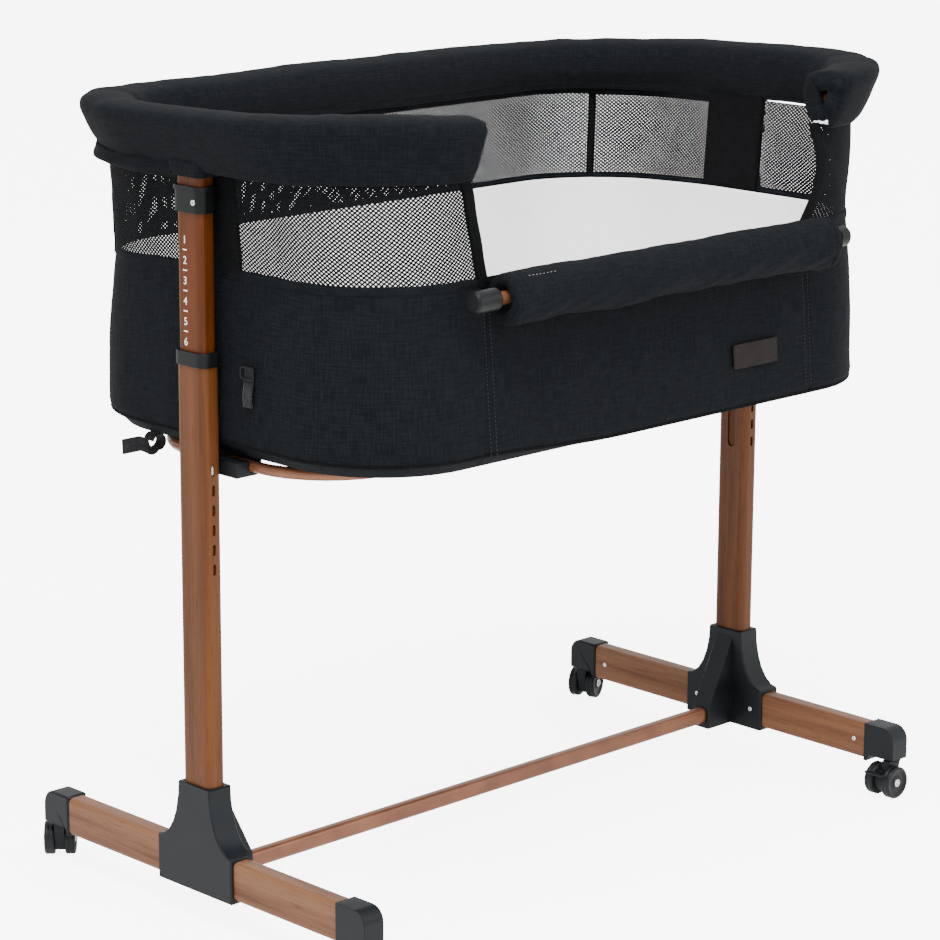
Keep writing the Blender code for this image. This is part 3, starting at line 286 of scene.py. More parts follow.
# %% A material with its shader, and a bump that reads a height
def finish_with(name, roughness=0.5, metallic=0.0, specular=0.5, sheen=0.0):
    material = bpy.data.materials.new(name)
    material.use_nodes = True
    tree = material.node_tree
    shader = tree.nodes["Principled BSDF"]
    shader.inputs["Roughness"].default_value = roughness
    shader.inputs["Metallic"].default_value = metallic
    shader.inputs["Specular IOR Level"].default_value = specular
    if sheen:
        shader.inputs["Sheen Weight"].default_value = sheen
        shader.inputs["Sheen Roughness"].default_value = 0.45
    return material, tree, shader


def place_group(tree, group, links):
    node = add(tree, "ShaderNodeGroup", node_tree=group)
    for key, value in links.items():
        if isinstance(value, bpy.types.NodeSocket):
            tree.links.new(value, node.inputs[key])
        else:
            node.inputs[key].default_value = value
    return node.outputs


def bump(tree, shader, height, strength, distance):
    node = add(tree, "ShaderNodeBump", {"Height": height, "Strength": strength, "Distance": distance})
    tree.links.new(node.outputs[0], shader.inputs["Normal"])
    return node


def where(tree, source="Object"):
    return add(tree, "ShaderNodeTexCoord").outputs[source]


# %% Printed wood tubes, with the print running along each tube
def wood_finish(name, along, dark, middle, light):
    material, tree, shader = finish_with(name, roughness=0.4, specular=0.14)
    stretch = {"Z": (1, 1, 0.035), "Y": (1, 0.035, 1)}[along]
    mapping = add(tree, "ShaderNodeMapping", {"Vector": where(tree), "Scale": stretch})
    wood = place_group(tree, wood_group, {"Vector": mapping.outputs[0], "Dark": (*dark, 1),
                                          "Middle": (*middle, 1), "Light": (*light, 1)})
    tree.links.new(wood["Color"], shader.inputs["Base Color"])
    rough = calc(tree, "ADD", calc(tree, "MULTIPLY", wood["Pores"], 0.22), 0.36)
    tree.links.new(rough, shader.inputs["Roughness"])
    bump(tree, shader, wood["Height"], 0.25, 0.0002)
    return material


wood_outer = wood_finish("walnut print, outer tube", "Z", (0.040, 0.0115, 0.0025),
                         (0.086, 0.0265, 0.0062), (0.130, 0.045, 0.0125))
wood_inner = wood_finish("walnut print, inner tube", "Z", (0.034, 0.0075, 0.0007),
                         (0.070, 0.0160, 0.0013), (0.105, 0.027, 0.0026))
wood_foot = wood_finish("walnut print, foot tube", "Y", (0.068, 0.0235, 0.0085),
                        (0.140, 0.058, 0.026), (0.205, 0.097, 0.050))


# %% Copper-brown lacquer on the frame tubes
def lacquer_finish():
    material, tree, shader = finish_with("copper-brown lacquer", metallic=0.35, specular=0.5)
    grain = place_group(tree, grain_group, {"Vector": where(tree), "Scale": 1500.0,
                                            "Dark": (0.125, 0.043, 0.018, 1),
                                            "Light": (0.225, 0.088, 0.040, 1)})
    tree.links.new(grain["Color"], shader.inputs["Base Color"])
    tree.links.new(calc(tree, "MULTIPLY", grain["Roughness"], 0.75), shader.inputs["Roughness"])
    bump(tree, shader, grain["Height"], 0.06, 0.0002)
    return material


copper = lacquer_finish()


# %% Charcoal and black mouldings, and white and steel trim
def moulded_finish(name, dark, light, scale=1100.0, strength=0.25, shine=1.0):
    material, tree, shader = finish_with(name, specular=0.16)
    grain = place_group(tree, grain_group, {"Vector": where(tree), "Scale": scale,
                                            "Dark": (*dark, 1), "Light": (*light, 1)})
    tree.links.new(grain["Color"], shader.inputs["Base Color"])
    tree.links.new(calc(tree, "MULTIPLY", grain["Roughness"], shine), shader.inputs["Roughness"])
    bump(tree, shader, grain["Height"], strength, 0.0002)
    return material


def steel_finish():
    material, tree, shader = finish_with("bright steel", metallic=1.0)
    grain = place_group(tree, grain_group, {"Vector": where(tree), "Scale": 2400.0,
                                            "Dark": (0.55, 0.55, 0.54, 1),
                                            "Light": (0.78, 0.78, 0.77, 1)})
    tree.links.new(grain["Color"], shader.inputs["Base Color"])
    tree.links.new(calc(tree, "MULTIPLY", grain["Roughness"], 0.6), shader.inputs["Roughness"])
    bump(tree, shader, grain["Height"], 0.05, 0.0001)
    return material


charcoal = moulded_finish("charcoal moulding", (0.0030, 0.0041, 0.0051), (0.0070, 0.0089, 0.0107))
black_moulding = moulded_finish("black moulding", (0.0016, 0.0020, 0.0024),
                                (0.0045, 0.0051, 0.0058), shine=0.9)
tread = moulded_finish("wheel moulding", (0.0045, 0.0052, 0.006), (0.0105, 0.0118, 0.013),
                       500.0, 0.12, 0.8)
white_trim = moulded_finish("white trim", (0.74, 0.74, 0.72), (0.86, 0.86, 0.84), 1600.0, 0.05, 0.7)
steel = steel_finish()


# %% Cloths: charcoal linen look, black binding, white cotton, webbing, mesh yarn, leather
def cloth_finish(name, dark, light, threads, fleck, strength=0.5, sheen=0.12, roughness=0.9):
    material, tree, shader = finish_with(name, roughness=roughness, specular=0.08, sheen=sheen)
    cloth = add(tree, "ShaderNodeUVMap", uv_map="cloth").outputs[0]
    weave = place_group(tree, weave_group, {"Vector": cloth, "Threads": threads,
                                            "Dark": (*dark, 1), "Light": (*light, 1), "Fleck": fleck})
    tree.links.new(weave["Color"], shader.inputs["Base Color"])
    height = calc(tree, "ADD", weave["Height"], calc(tree, "MULTIPLY", weave["Mask"], 1.2))
    bump(tree, shader, height, strength, 0.0003)
    return material


linen = cloth_finish("charcoal linen", (0.0024, 0.0032, 0.0042), (0.0072, 0.0088, 0.0106),
                     1100.0, 0.75, 0.5, 0.0)
binding = cloth_finish("black binding tape", (0.0015, 0.0017, 0.0020), (0.0042, 0.0046, 0.0052),
                       1500.0, 0.6, 0.5, 0.0)
cotton = cloth_finish("white cotton", (0.93, 0.935, 0.935), (0.985, 0.985, 0.98), 1600.0, 0.7, 0.25, 0.0)
yarn = cloth_finish("black mesh yarn", (0.0026, 0.0029, 0.0034), (0.0065, 0.0072, 0.0082),
                    2400.0, 0.6, 0.3, 0.0)
webbing = cloth_finish("black webbing", (0.006, 0.006, 0.007), (0.020, 0.021, 0.023), 700.0, 0.8, 0.9)
leather = moulded_finish("brown leather", (0.0046, 0.0028, 0.0023), (0.0105, 0.0066, 0.0054),
                         650.0, 0.5, 1.5)
board_cloth = moulded_finish("pressed board", (0.20, 0.15, 0.10), (0.33, 0.27, 0.19), 300.0, 0.2, 1.5)
print("finishes:", len(bpy.data.materials))

# %% [markdown]
# ## Laying cloth on a shape
#
# Sewn cloth could be sculpted or simulated, but here its shape is known: it follows the
# solid that it replaces. So each cloth starts as a flat grid, cut to size and with its UV
# map in metres, and the grid's points are then laid on the shape. A function says where
# the point at a given share along and share up the cloth goes. Wrinkles, seams and sags
# are small moves added to that place along the outward direction.

# %% Sizes taken from the solids
tub_low, tub_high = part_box("tub_shell")
mesh_low, mesh_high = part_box("mesh_wall")
rim_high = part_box("rim_pad")[1]
roll_low, roll_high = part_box("front_roll")
liner_low, liner_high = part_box("inner_liner")
ring_low, ring_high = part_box("lower_ring")
POST_X = (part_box("outer_post_right")[0].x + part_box("outer_post_right")[1].x) / 2
OPENING = 0.264                                   # half of the rim's gap at the front
print("tub from", round(tub_low.z, 4), "to", round(tub_high.z, 4), "rim to", round(rim_high.z, 4))

# %% Helpers: a rounded rectangle as a route, a laid grid and a finished piece
def plan_length(plan):
    a, b, r = plan
    return 4 * (a - r) + 4 * (b - r) + 2 * math.pi * r


def plan_at(plan, s):
    """Place and outward direction at a distance from the front middle, going toward +X."""
    a, b, r = plan
    s %= plan_length(plan)
    corner = math.pi * r / 2
    place, heading = Vector((0.0, -b)), 0.0
    steps = [(a - r, 0), (corner, 1), (2 * (b - r), 0), (corner, 1), (2 * (a - r), 0),
             (corner, 1), (2 * (b - r), 0), (corner, 1), (a - r, 0)]
    for length, turning in steps:
        part = min(s, length)
        if turning:
            middle = place + Vector((-math.sin(heading), math.cos(heading))) * r
            heading += part / r
            place = middle + Vector((math.sin(heading), -math.cos(heading))) * r
        else:
            place = place + Vector((math.cos(heading), math.sin(heading))) * part
        s -= part
        if s <= 0:
            break
    return place, Vector((math.sin(heading), -math.cos(heading)))


def mix(first, second, share):
    return first + (second - first) * share


def mixed_plan(first, second, share):
    return tuple(mix(one, two, share) for one, two in zip(first, second))


def ease(value):
    value = min(1.0, max(0.0, value))
    return value * value * (3 - 2 * value)


def bell(distance, width):
    return math.exp(-(distance / width) ** 2)


def link(name, mesh):
    obj = bpy.data.objects.new(name, mesh)
    bpy.context.scene.collection.objects.link(obj)
    return obj


def piece(name, shape, material, body):
    """A finished piece from a bmesh: smooth, with its material, riding on a body."""
    mesh = bpy.data.meshes.new(name)
    shape.to_mesh(mesh)
    shape.free()
    mesh.shade_smooth()
    mesh.materials.append(material)
    obj = link(name, mesh)
    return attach(obj, body) if body else obj


def laid_grid(columns, rows, flat, place, weld=True):
    """A grid with a UV map in metres, laid where place(along, up) says, both from 0 to 1."""
    shape = bmesh.new()
    cloth = shape.loops.layers.uv.new("cloth")
    bmesh.ops.create_grid(shape, x_segments=columns, y_segments=rows, size=1, calc_uvs=True)
    for face in shape.faces:
        for corner in face.loops:
            uv = corner[cloth].uv
            corner[cloth].uv = (uv.x * flat[0], uv.y * flat[1])
    for vert in shape.verts:
        vert.co = place((vert.co.x + 1) / 2, (vert.co.y + 1) / 2)
    if weld:
        bmesh.ops.remove_doubles(shape, verts=shape.verts, dist=0.00002)
    return shape


def thicken(obj, thickness, offset=-1.0):
    wall = obj.modifiers.new("cloth thickness", "SOLIDIFY")
    wall.thickness = thickness
    wall.offset = offset
    return obj


def creases(spot, seed=0.0):
    """Folds of a hanging cloth at a place on it: long upright ones, slants and fine ones."""
    x, y, z = spot
    upright = noise.noise(Vector((x * 16, y * 16, z * 4 + seed)))
    slanting = noise.noise(Vector((x * 30 + z * 14, y * 30, z * 9 + seed + 7)))
    fine = noise.noise(Vector((x * 85, y * 85, z * 50 + seed + 13)))
    return upright * 0.6 + slanting * 0.32 + fine * 0.14


TUB_PLAN_LOW = (tub_high.x, tub_high.y, 0.130)
TUB_PLAN_TOP = (tub_high.x - 0.009, 0.235, 0.115)
WINDOW_PLAN_LOW = TUB_PLAN_TOP
WINDOW_PLAN_TOP = (mesh_high.x, 0.23575, 0.122)
RIM_PLAN = (POST_X, 0.2435, 0.168)
TUB_EDGE = 0.0135
TUB_EDGE_TOP = tub_low.z + TUB_EDGE


def rear_drop(y, z):
    """How far the rear side hangs lower than the front: most at the middle of its height."""
    return (0.007 * ease((z - 0.56) / 0.13) - 0.003 * ease((z - 0.70) / 0.10)) * ease(y / 0.235)


LEFT_LIFT = 0.009                                 # the near end is packed up higher below


def left_lift(x, z):
    height = max(0.0, (z - TUB_EDGE_TOP) / (tub_high.z - TUB_EDGE_TOP))
    return LEFT_LIFT * ease((-x - 0.05) / 0.22) * (1 - height) ** 3


def tub_place(share, z, out=0.0):
    """A point on the tub's outside at a share of the way round from the front middle."""
    height = (z - TUB_EDGE_TOP) / (tub_high.z - TUB_EDGE_TOP)
    plan = mixed_plan(TUB_PLAN_LOW, TUB_PLAN_TOP, max(0.0, height))
    if z < TUB_EDGE_TOP:
        drop = min(1.0, (TUB_EDGE_TOP - z) / TUB_EDGE)
        out -= TUB_EDGE * (1 - math.sqrt(max(0.0, 1 - drop * drop)))
    spot, away = plan_at(plan, share * plan_length(plan))
    spot = spot + away * out
    return Vector((spot.x, spot.y, z + left_lift(spot.x, z) - rear_drop(spot.y, z)))


def window_place(share, up, out=0.0):
    """A point on the mesh wall at a share round and a share up."""
    plan = mixed_plan(WINDOW_PLAN_LOW, WINDOW_PLAN_TOP, up)
    spot, away = plan_at(plan, share * plan_length(plan))
    spot = spot + away * out
    z = mix(mesh_low.z, mesh_high.z, up)
    return Vector((spot.x, spot.y, z - rear_drop(spot.y, z)))


def share_of(plan, x, y):
    """The share round a plan of the point on it nearest to a spot."""
    total = plan_length(plan)
    steps = 720
    best = min(range(steps), key=lambda i: (plan_at(plan, total * i / steps)[0]
                                            - Vector((x, y))).length)
    return best / steps


TUB_ROUND = plan_length(TUB_PLAN_TOP)
SEAM_X = 0.245
print("round the tub:", round(TUB_ROUND, 3), "m")

# %% [markdown]
# ## The fabric tub
#
# The tub is a sewn fabric wall over a soft shell. It turns under at the bottom round a
# piped edge, and it is cut in panels: two upright seams at the front and one near each
# corner. Along a seam the cloth is pulled in and puckers a little. Between the seams it
# bags outward slightly. The underside is one flat panel.

# %% The tub's outer cloth
SEAMS = [SEAM_X / TUB_ROUND, 1 - SEAM_X / TUB_ROUND]
SEAMS += [share_of(TUB_PLAN_TOP, x, y) for x, y in
          ((0.3555, 0.19), (-0.3555, 0.19), (-0.38, -0.15), (0.38, -0.15))]


def seam_pull(share, z):
    """How far the cloth is pulled in near its seams, with small puckers beside them."""
    pull = 0.0
    for seam in SEAMS:
        away = ((share - seam + 0.5) % 1 - 0.5) * TUB_ROUND
        if abs(away) < 0.03:
            pucker = noise.noise(Vector((z * 130, seam * 40, 2)))
            pull -= 0.0016 * bell(away, 0.0022) + 0.0006 * pucker * bell(away, 0.009)
    return pull


def tub_cloth_place(share, up):
    hem = 0.10
    if up < hem:                                  # the underside, from near the middle out
        inward = 1 - up / hem
        edge = tub_place(share, tub_low.z)
        return Vector((edge.x * (1 - 0.12 * inward), edge.y * (1 - 0.2 * inward), tub_low.z))
    z = mix(tub_low.z, tub_high.z + 0.001, ((up - hem) / (1 - hem)) ** 1.15)
    height = (z - tub_low.z) / (tub_high.z - tub_low.z)
    bag = 0.0020 * math.sin(math.pi * height) + 0.0030 * creases(tub_place(share, z))
    out = bag * ease(height * 5) * (1 - ease(height * 12 - 11)) + seam_pull(share, z)
    return tub_place(share, z, out)


tub_shape = laid_grid(560, 54, (TUB_ROUND, 0.22), tub_cloth_place)
rim_of_floor = [edge for edge in tub_shape.edges if edge.is_boundary
                and max(v.co.z for v in edge.verts) < tub_low.z + 0.001]
bmesh.ops.edgeloop_fill(tub_shape, edges=rim_of_floor)
bmesh.ops.recalc_face_normals(tub_shape, faces=tub_shape.faces)
tub_cloth = piece("tub_cloth", tub_shape, linen, "carriage")
thicken(tub_cloth, 0.0014)
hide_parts("tub_shell")
print("tub cloth:", len(tub_cloth.data.polygons), "faces")


# %% [markdown]
# ## Swept bands
#
# Piping, hems, bindings and the rim's pad are all one thing to Blender: a section carried
# along a route. The route is a rounded rectangle, and the section a closed loop of a few
# points, smoothed. The grid's rows go round the section and its columns along the route.

# %% A smooth closed section, and a band swept with it
def round_section(points, share):
    """A point on a smooth closed curve through the points, at a share of the way round."""
    count = len(points)
    at = (share % 1) * count
    index, part = int(at), at - int(at)
    one, two, three, four = (Vector(points[(index + step) % count]) for step in (-1, 0, 1, 2))
    return 0.5 * (2 * two + (three - one) * part + (2 * one - 5 * two + 4 * three - four) * part ** 2
                  + (3 * two - one - 3 * three + four) * part ** 3)


def band(plan, section, start, end, columns, rows, flat, soften=None):
    """A closed band along a route, with both ends filled. The section is (out, height) points."""
    total = plan_length(plan)

    def place(along, round_it):
        s = mix(start, end, along) * total
        out, z = round_section(section, -round_it)
        if soften:
            out, z = soften(s, round_it, out, z, plan_at(plan, s)[0])
        spot, away = plan_at(plan, s)
        return Vector((spot.x + away.x * out, spot.y + away.y * out, z))

    shape = laid_grid(columns, rows, flat, place)
    edges = [edge for edge in shape.edges if edge.is_boundary]
    if edges:
        bmesh.ops.holes_fill(shape, edges=edges, sides=0)
    bmesh.ops.recalc_face_normals(shape, faces=shape.faces)
    return shape


def oval(out, z, half_out, half_z):
    return [(out + half_out * math.cos(turn), z + half_z * math.sin(turn))
            for turn in (i * math.pi / 4 for i in range(8))]


# %% Piping round the tub's bottom edge, and the hem at its top
def piping_soften(s, round_it, out, z, spot):
    return out, z + left_lift(spot.x, z)


low_piping = band(TUB_PLAN_LOW, oval(-0.0030, TUB_EDGE_TOP - 0.0085, 0.0021, 0.0021), 0, 1, 420, 10,
                  (2.3, 0.012), piping_soften)
piece("tub_bottom_piping", low_piping, binding, "carriage")


def hem_soften(s, round_it, out, z, spot):
    return out + 0.0008 * noise.noise(Vector((spot.x * 60, spot.y * 60, 3))), z - rear_drop(spot.y, z)


top_hem = band(TUB_PLAN_TOP, oval(-0.0002, tub_high.z - 0.0035, 0.0019, 0.0055), 0, 1, 420, 12,
               (2.3, 0.02), hem_soften)
piece("tub_top_hem", top_hem, linen, "carriage")
print("piping and hem done")

# %% [markdown]
# ## The padded rim
#
# Foam is wrapped round the rim tube and covered with the same linen-look cloth. The
# section is an upside-down drop: full and rounded on top, leaning in to a narrow foot,
# where the cover is closed with a hem flap over a black under-layer. The cover is a
# little loose, so it has long shallow folds, more of them round the corners. One end at
# the front is closed, and the other is left open and shows its lining.

# %% The rim's cover
RIM_SECTION = [(0.010, 0.801), (0.020, 0.817), (0.0275, 0.834), (0.0325, 0.847), (0.0295, 0.8565),
               (0.016, 0.8605), (-0.004, 0.8602), (-0.021, 0.856), (-0.028, 0.845), (-0.0285, 0.831),
               (-0.024, 0.815), (-0.016, 0.802), (-0.003, 0.799)]
REAR_DROP = 0.0095                                # the long rear side sags
NEAR_LIFT, CORNER_LIFT = 0.004, 0.004             # the front side's crest, and its left corner's
RIM_CENTRE = Vector((0.002, 0.834))
RIM_ROUND = plan_length(RIM_PLAN)
RIM_FROM, RIM_TO = (OPENING + 0.002) / RIM_ROUND, 1 - (OPENING + 0.006) / RIM_ROUND
HEM_FROM = share_of(RIM_PLAN, POST_X, 0.0)         # the hem runs round the back, post to post
HEM_TO = share_of(RIM_PLAN, -POST_X, 0.021)
END_ROUND = 0.011


def corner_share(s):
    """1 in the middle of the rim's plan corners, 0 on its straight sides."""
    a, b, r = RIM_PLAN
    corner = math.pi * r / 2
    starts = (a - r, a - r + corner + 2 * (b - r), 3 * (a - r) + 2 * corner + 2 * (b - r),
              3 * (a - r) + 3 * corner + 4 * (b - r))
    return max(math.sin(math.pi * (s - first) / corner) if first < s < first + corner else 0.0
               for first in starts)


def rim_soften(s, round_it, out, z, spot):
    bend = corner_share(s)
    long_fold = noise.noise(Vector((spot.x * 7, spot.y * 7, z * 22)))
    across = noise.noise(Vector((spot.x * 34, spot.y * 34, z * 14 + 5)))
    fine = noise.noise(Vector((spot.x * 120, spot.y * 120, z * 110)))
    swell = 1 + 0.05 * long_fold + (0.022 + 0.03 * bend) * across + 0.008 * fine
    end = min(s - RIM_FROM * RIM_ROUND, RIM_TO * RIM_ROUND - s)
    if end < END_ROUND:
        swell *= math.sqrt(max(0.02, 1 - (1 - end / END_ROUND) ** 2)) * 0.28 + 0.72
    centre = RIM_CENTRE
    out, z = centre.x + (out - centre.x) * swell, centre.y + (z - centre.y) * swell
    sag = 0.0022 * noise.noise(Vector((spot.x * 9, spot.y * 9, 11)))
    crest = ease((z - 0.80) / 0.05)
    drop = REAR_DROP * ease(spot.y / RIM_PLAN[1]) * ease((z - 0.80) / 0.03)
    drop *= 1 - 0.5 * ease((-spot.x - 0.25) / 0.15)
    lift = (NEAR_LIFT + CORNER_LIFT * bend * (spot.x < 0)) * ease(0.3 - spot.y / RIM_PLAN[1])
    return out, z + sag * ease((z - 0.81) / 0.05) + lift * crest - drop


rim_shape = band(RIM_PLAN, RIM_SECTION, RIM_FROM, RIM_TO, 520, 72, (RIM_ROUND, 0.19), rim_soften)
rim_shape.faces.ensure_lookup_table()
ends = [face for face in rim_shape.faces if len(face.verts) > 20]
open_end = max(ends, key=lambda face: face.calc_center_median().x)
for face in ends:                                 # a shallow dimple where each end is gathered
    bmesh.ops.inset_region(rim_shape, faces=[face], thickness=0.006, depth=0.0015)
bmesh.ops.inset_region(rim_shape, faces=[open_end], thickness=0.009, depth=0.0)
inward = Vector((1, 0, 0))
hole_verts = list(open_end.verts)
hole_middle = open_end.calc_center_median()
for vert in hole_verts:
    vert.co.x = hole_middle.x + 0.0012
deep = bmesh.ops.extrude_discrete_faces(rim_shape, faces=[open_end])["faces"][0]
for vert in deep.verts:
    vert.co += inward * 0.030
rim_cover = piece("rim_cover", rim_shape, linen, "carriage")
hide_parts("rim_pad")
print("rim cover:", len(rim_cover.data.polygons), "faces")

# %% The hem flap under the rim and the black under-layer behind it
def flap_soften(s, round_it, out, z, spot):
    flare = 0.0022 * noise.noise(Vector((spot.x * 22, spot.y * 22, 4)))
    lift = 0.0016 * noise.noise(Vector((spot.x * 15, spot.y * 15, 9)))
    return out + flare + 0.002 * corner_share(s), z + lift


flap = band(RIM_PLAN, [(0.0135, 0.8065), (0.0150, 0.8010), (0.0172, 0.7955), (0.0166, 0.7930),
                       (0.0140, 0.7945), (0.0112, 0.7990), (0.0095, 0.8050)],
            HEM_FROM, HEM_TO, 460, 16, (RIM_ROUND, 0.03), flap_soften)
piece("rim_hem_flap", flap, linen, "carriage")
under = band(RIM_PLAN, oval(0.0015, 0.7935, 0.0085, 0.0068), HEM_FROM, HEM_TO, 360, 14,
             (RIM_ROUND, 0.04), flap_soften)
piece("rim_under_layer", under, binding, "carriage")
inner_flap = band(RIM_PLAN, [(-0.0185, 0.8080), (-0.0150, 0.8060), (-0.0140, 0.7980),
                             (-0.0155, 0.7955), (-0.0180, 0.7975)],
                  HEM_FROM, HEM_TO, 360, 14, (RIM_ROUND, 0.03), flap_soften)
piece("rim_inner_hem", inner_flap, linen, "carriage")
print("hems done")

# %% [markdown]
# ## Mesh windows
#
# The upper sides are warp-knitted mesh with diamond holes. Painting the holes with alpha
# would look flat up close, so the yarn is real geometry. A flat grid is poked, so each
# cell has a point in its middle, and then the grid's first edges are dissolved: what is
# left are diamonds. Each diamond is inset by half a yarn's width and its middle removed.
# The flat net is then laid on the wall and given the yarn's thickness.

# %% A net of diamonds, cut flat and laid on a shape
MESH_PITCH_ALONG, MESH_PITCH_UP, YARN = 0.0053, 0.0041, 0.0016


def diamond_net(width, height, place, yarn=YARN):
    """A knitted net of the given flat size, laid where place(along, up) says."""
    net = bmesh.new()
    cloth = net.loops.layers.uv.new("cloth")
    bmesh.ops.create_grid(net, x_segments=max(2, round(width / MESH_PITCH_ALONG)),
                          y_segments=max(2, round(height / MESH_PITCH_UP)), size=1)
    cells = [edge for edge in net.edges if not edge.is_boundary]
    bmesh.ops.poke(net, faces=net.faces)
    bmesh.ops.dissolve_edges(net, edges=cells, use_verts=False)
    bmesh.ops.transform(net, matrix=Matrix.Diagonal((width / 2, height / 2, 1, 1)), verts=net.verts)
    yarns = set(bmesh.ops.inset_individual(net, faces=net.faces, thickness=yarn / 2,
                                           use_even_offset=True)["faces"])
    holes = [face for face in net.faces if face not in yarns]
    bmesh.ops.delete(net, geom=holes, context="FACES_ONLY")
    for face in net.faces:
        for corner in face.loops:
            corner[cloth].uv = corner.vert.co.xy
    for vert in net.verts:
        vert.co = place(vert.co.x / width + 0.5, vert.co.y / height + 0.5)
    bmesh.ops.recalc_face_normals(net, faces=net.faces)
    return net


POCKET_HALF = 0.039
LEFT_OPENING = (1 - 0.247 / TUB_ROUND, 1 - 0.268 / TUB_ROUND)       # at the tub, at the rim
RIGHT_OPENING = (0.250 / TUB_ROUND, 0.262 / TUB_ROUND)


def opening_share(ends, up, bow=0.0):
    return mix(ends[0], ends[1], up) + bow * math.sin(math.pi * up) / TUB_ROUND


def on_side(x, y):
    """The same share for every height: the wall's point nearest to a spot."""
    return share_of(TUB_PLAN_TOP, x, y)


RIGHT_FRONT, RIGHT_REAR = on_side(0.4, -POCKET_HALF), on_side(0.4, POCKET_HALF)
LEFT_REAR, LEFT_FRONT = on_side(-0.4, POCKET_HALF), on_side(-0.4, -POCKET_HALF)
RIGHT_CORNER, LEFT_CORNER = on_side(0.3555, 0.19), on_side(-0.3555, 0.19)
CLOSE_YARN = 0.0024                               # the rear panels are knitted closer
FOLD_DEPTH = {"left": 0.0045, "right": 0.003, "rear": 0.002}


def window(name, start, end, folds, yarn_wide=YARN):
    """A mesh window between two edges, each a share or a function of the height."""
    first = start if callable(start) else (lambda up: start)
    last = end if callable(end) else (lambda up: end)
    width = abs(last(0.5) - first(0.5)) * TUB_ROUND

    def place(along, up):
        share = mix(first(up), last(up), along)
        flat_spot = window_place(share, up)
        loose = math.sin(math.pi * min(1, max(0, along))) ** 0.5 * math.sin(math.pi * min(1, max(0, up)))
        slant = noise.noise(Vector((flat_spot.x * 26 + up * 1.6, flat_spot.y * 26, up * 0.8 + 3)))
        sag = -0.007 * (1 - up) * math.sin(math.pi * along) if folds == "left" else 0.0
        spot = window_place(share, up, FOLD_DEPTH[folds] * loose * slant - 0.0004)
        spot.z += sag
        return spot

    obj = piece(name, diamond_net(width, mesh_high.z - mesh_low.z, place, yarn_wide), yarn, "carriage")
    thicken(obj, 0.0005, 0.0)
    return obj


left_edge = lambda up: opening_share(LEFT_OPENING, up)
right_edge = lambda up: opening_share(RIGHT_OPENING, up, 0.020)
windows = [window("window_front_left", LEFT_FRONT, left_edge, "left"),
           window("window_front_right", right_edge, RIGHT_FRONT, "right", CLOSE_YARN),
           window("window_rear_right", RIGHT_REAR, RIGHT_CORNER, "right", CLOSE_YARN),
           window("window_rear", RIGHT_CORNER, LEFT_CORNER, "rear", CLOSE_YARN),
           window("window_rear_left", LEFT_CORNER, LEFT_REAR, "left")]
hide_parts("mesh_wall")
print("windows:", {obj.name: len(obj.data.polygons) for obj in windows})


# %% [markdown]
# ## Pockets, strips and bindings
#
# The mesh is sewn between solid tapes. A wide black pocket covers each post's place on
# the wall, a narrow tape covers each rear corner seam, and a rolled binding finishes the
# two edges of the front opening. Each is a thin closed strip laid over the wall, from
# the tub's top edge up under the rim.

# %% An upright strip on the wall
def strip(name, middle, width, material, proud=0.0013, rise=0.006, drop=0.008, columns=8):
    """A strip centred on a share, or on a share that changes with the height."""
    centre = middle if callable(middle) else (lambda up: middle)
    low, high = -drop / (mesh_high.z - mesh_low.z), 1 + rise / (mesh_high.z - mesh_low.z)

    def place(along, up):
        height = mix(low, high, up)
        share = centre(min(1, max(0, height))) + (along - 0.5) * width / TUB_ROUND
        crown = math.sin(math.pi * along) * 0.0006
        spot = window_place(share, min(1, max(0, height)), 0.0)
        soft = 0.0010 * noise.noise(Vector((spot.x * 40, spot.y * 40, height * 6)))
        spot = window_place(share, min(1, max(0, height)), proud + crown + soft)
        z = mix(mesh_low.z, mesh_high.z, height)
        spot.z = z - rear_drop(spot.y, z)
        return spot

    obj = piece(name, laid_grid(columns, 40, (width, 0.115), place), material, "carriage")
    return thicken(obj, 0.0030 + proud)


for side, share in (("left", on_side(-0.4, 0)), ("right", on_side(0.4, 0))):
    strip(f"post_pocket_{side}", share, 2 * POCKET_HALF + 0.004, binding, columns=24)
for side, share in (("left", LEFT_CORNER), ("right", RIGHT_CORNER)):
    strip(f"corner_tape_{side}", share, 0.010, binding)
strip("opening_binding_left", left_edge, 0.013, binding, 0.0020)
strip("opening_binding_right", right_edge, 0.014, binding, 0.0020)
print("strips done")

# %% [markdown]
# ## The white inside
#
# A smooth cotton liner covers the inside of the tub, and a foam mattress lies on the
# board. The liner hangs a little slack, with soft upright folds. The mattress is a
# crowned pad: its top rises toward the middle and its side bulges between two edges.

# %% The liner
LINER_GAP = tub_high.x - liner_high.x
LINER_PLAN_LOW = tuple(v - LINER_GAP for v in TUB_PLAN_LOW)
LINER_PLAN_TOP = tuple(v - LINER_GAP for v in TUB_PLAN_TOP)
LINER_SEAMS = [share_of(TUB_PLAN_TOP, x, y) for x, y in
               ((0.3555, 0.19), (-0.3555, 0.19), (0, 0.235), (0.2, -0.235), (-0.2, -0.235))]


def liner_place(share, up):
    z = mix(liner_low.z, tub_high.z - 0.004, up)
    plan = mixed_plan(LINER_PLAN_LOW, LINER_PLAN_TOP, (z - TUB_EDGE_TOP) / (tub_high.z - TUB_EDGE_TOP))
    spot, away = plan_at(plan, share * plan_length(plan))
    seam = min(abs((share - other + 0.5) % 1 - 0.5) for other in LINER_SEAMS) * TUB_ROUND
    slack = 0.0022 * creases(Vector((spot.x, spot.y, z)), 21) * math.sin(math.pi * up) ** 0.6
    out = slack - 0.0010 + 0.0014 * bell(seam, 0.003)
    return Vector((spot.x + away.x * out, spot.y + away.y * out, z - rear_drop(spot.y, z)))


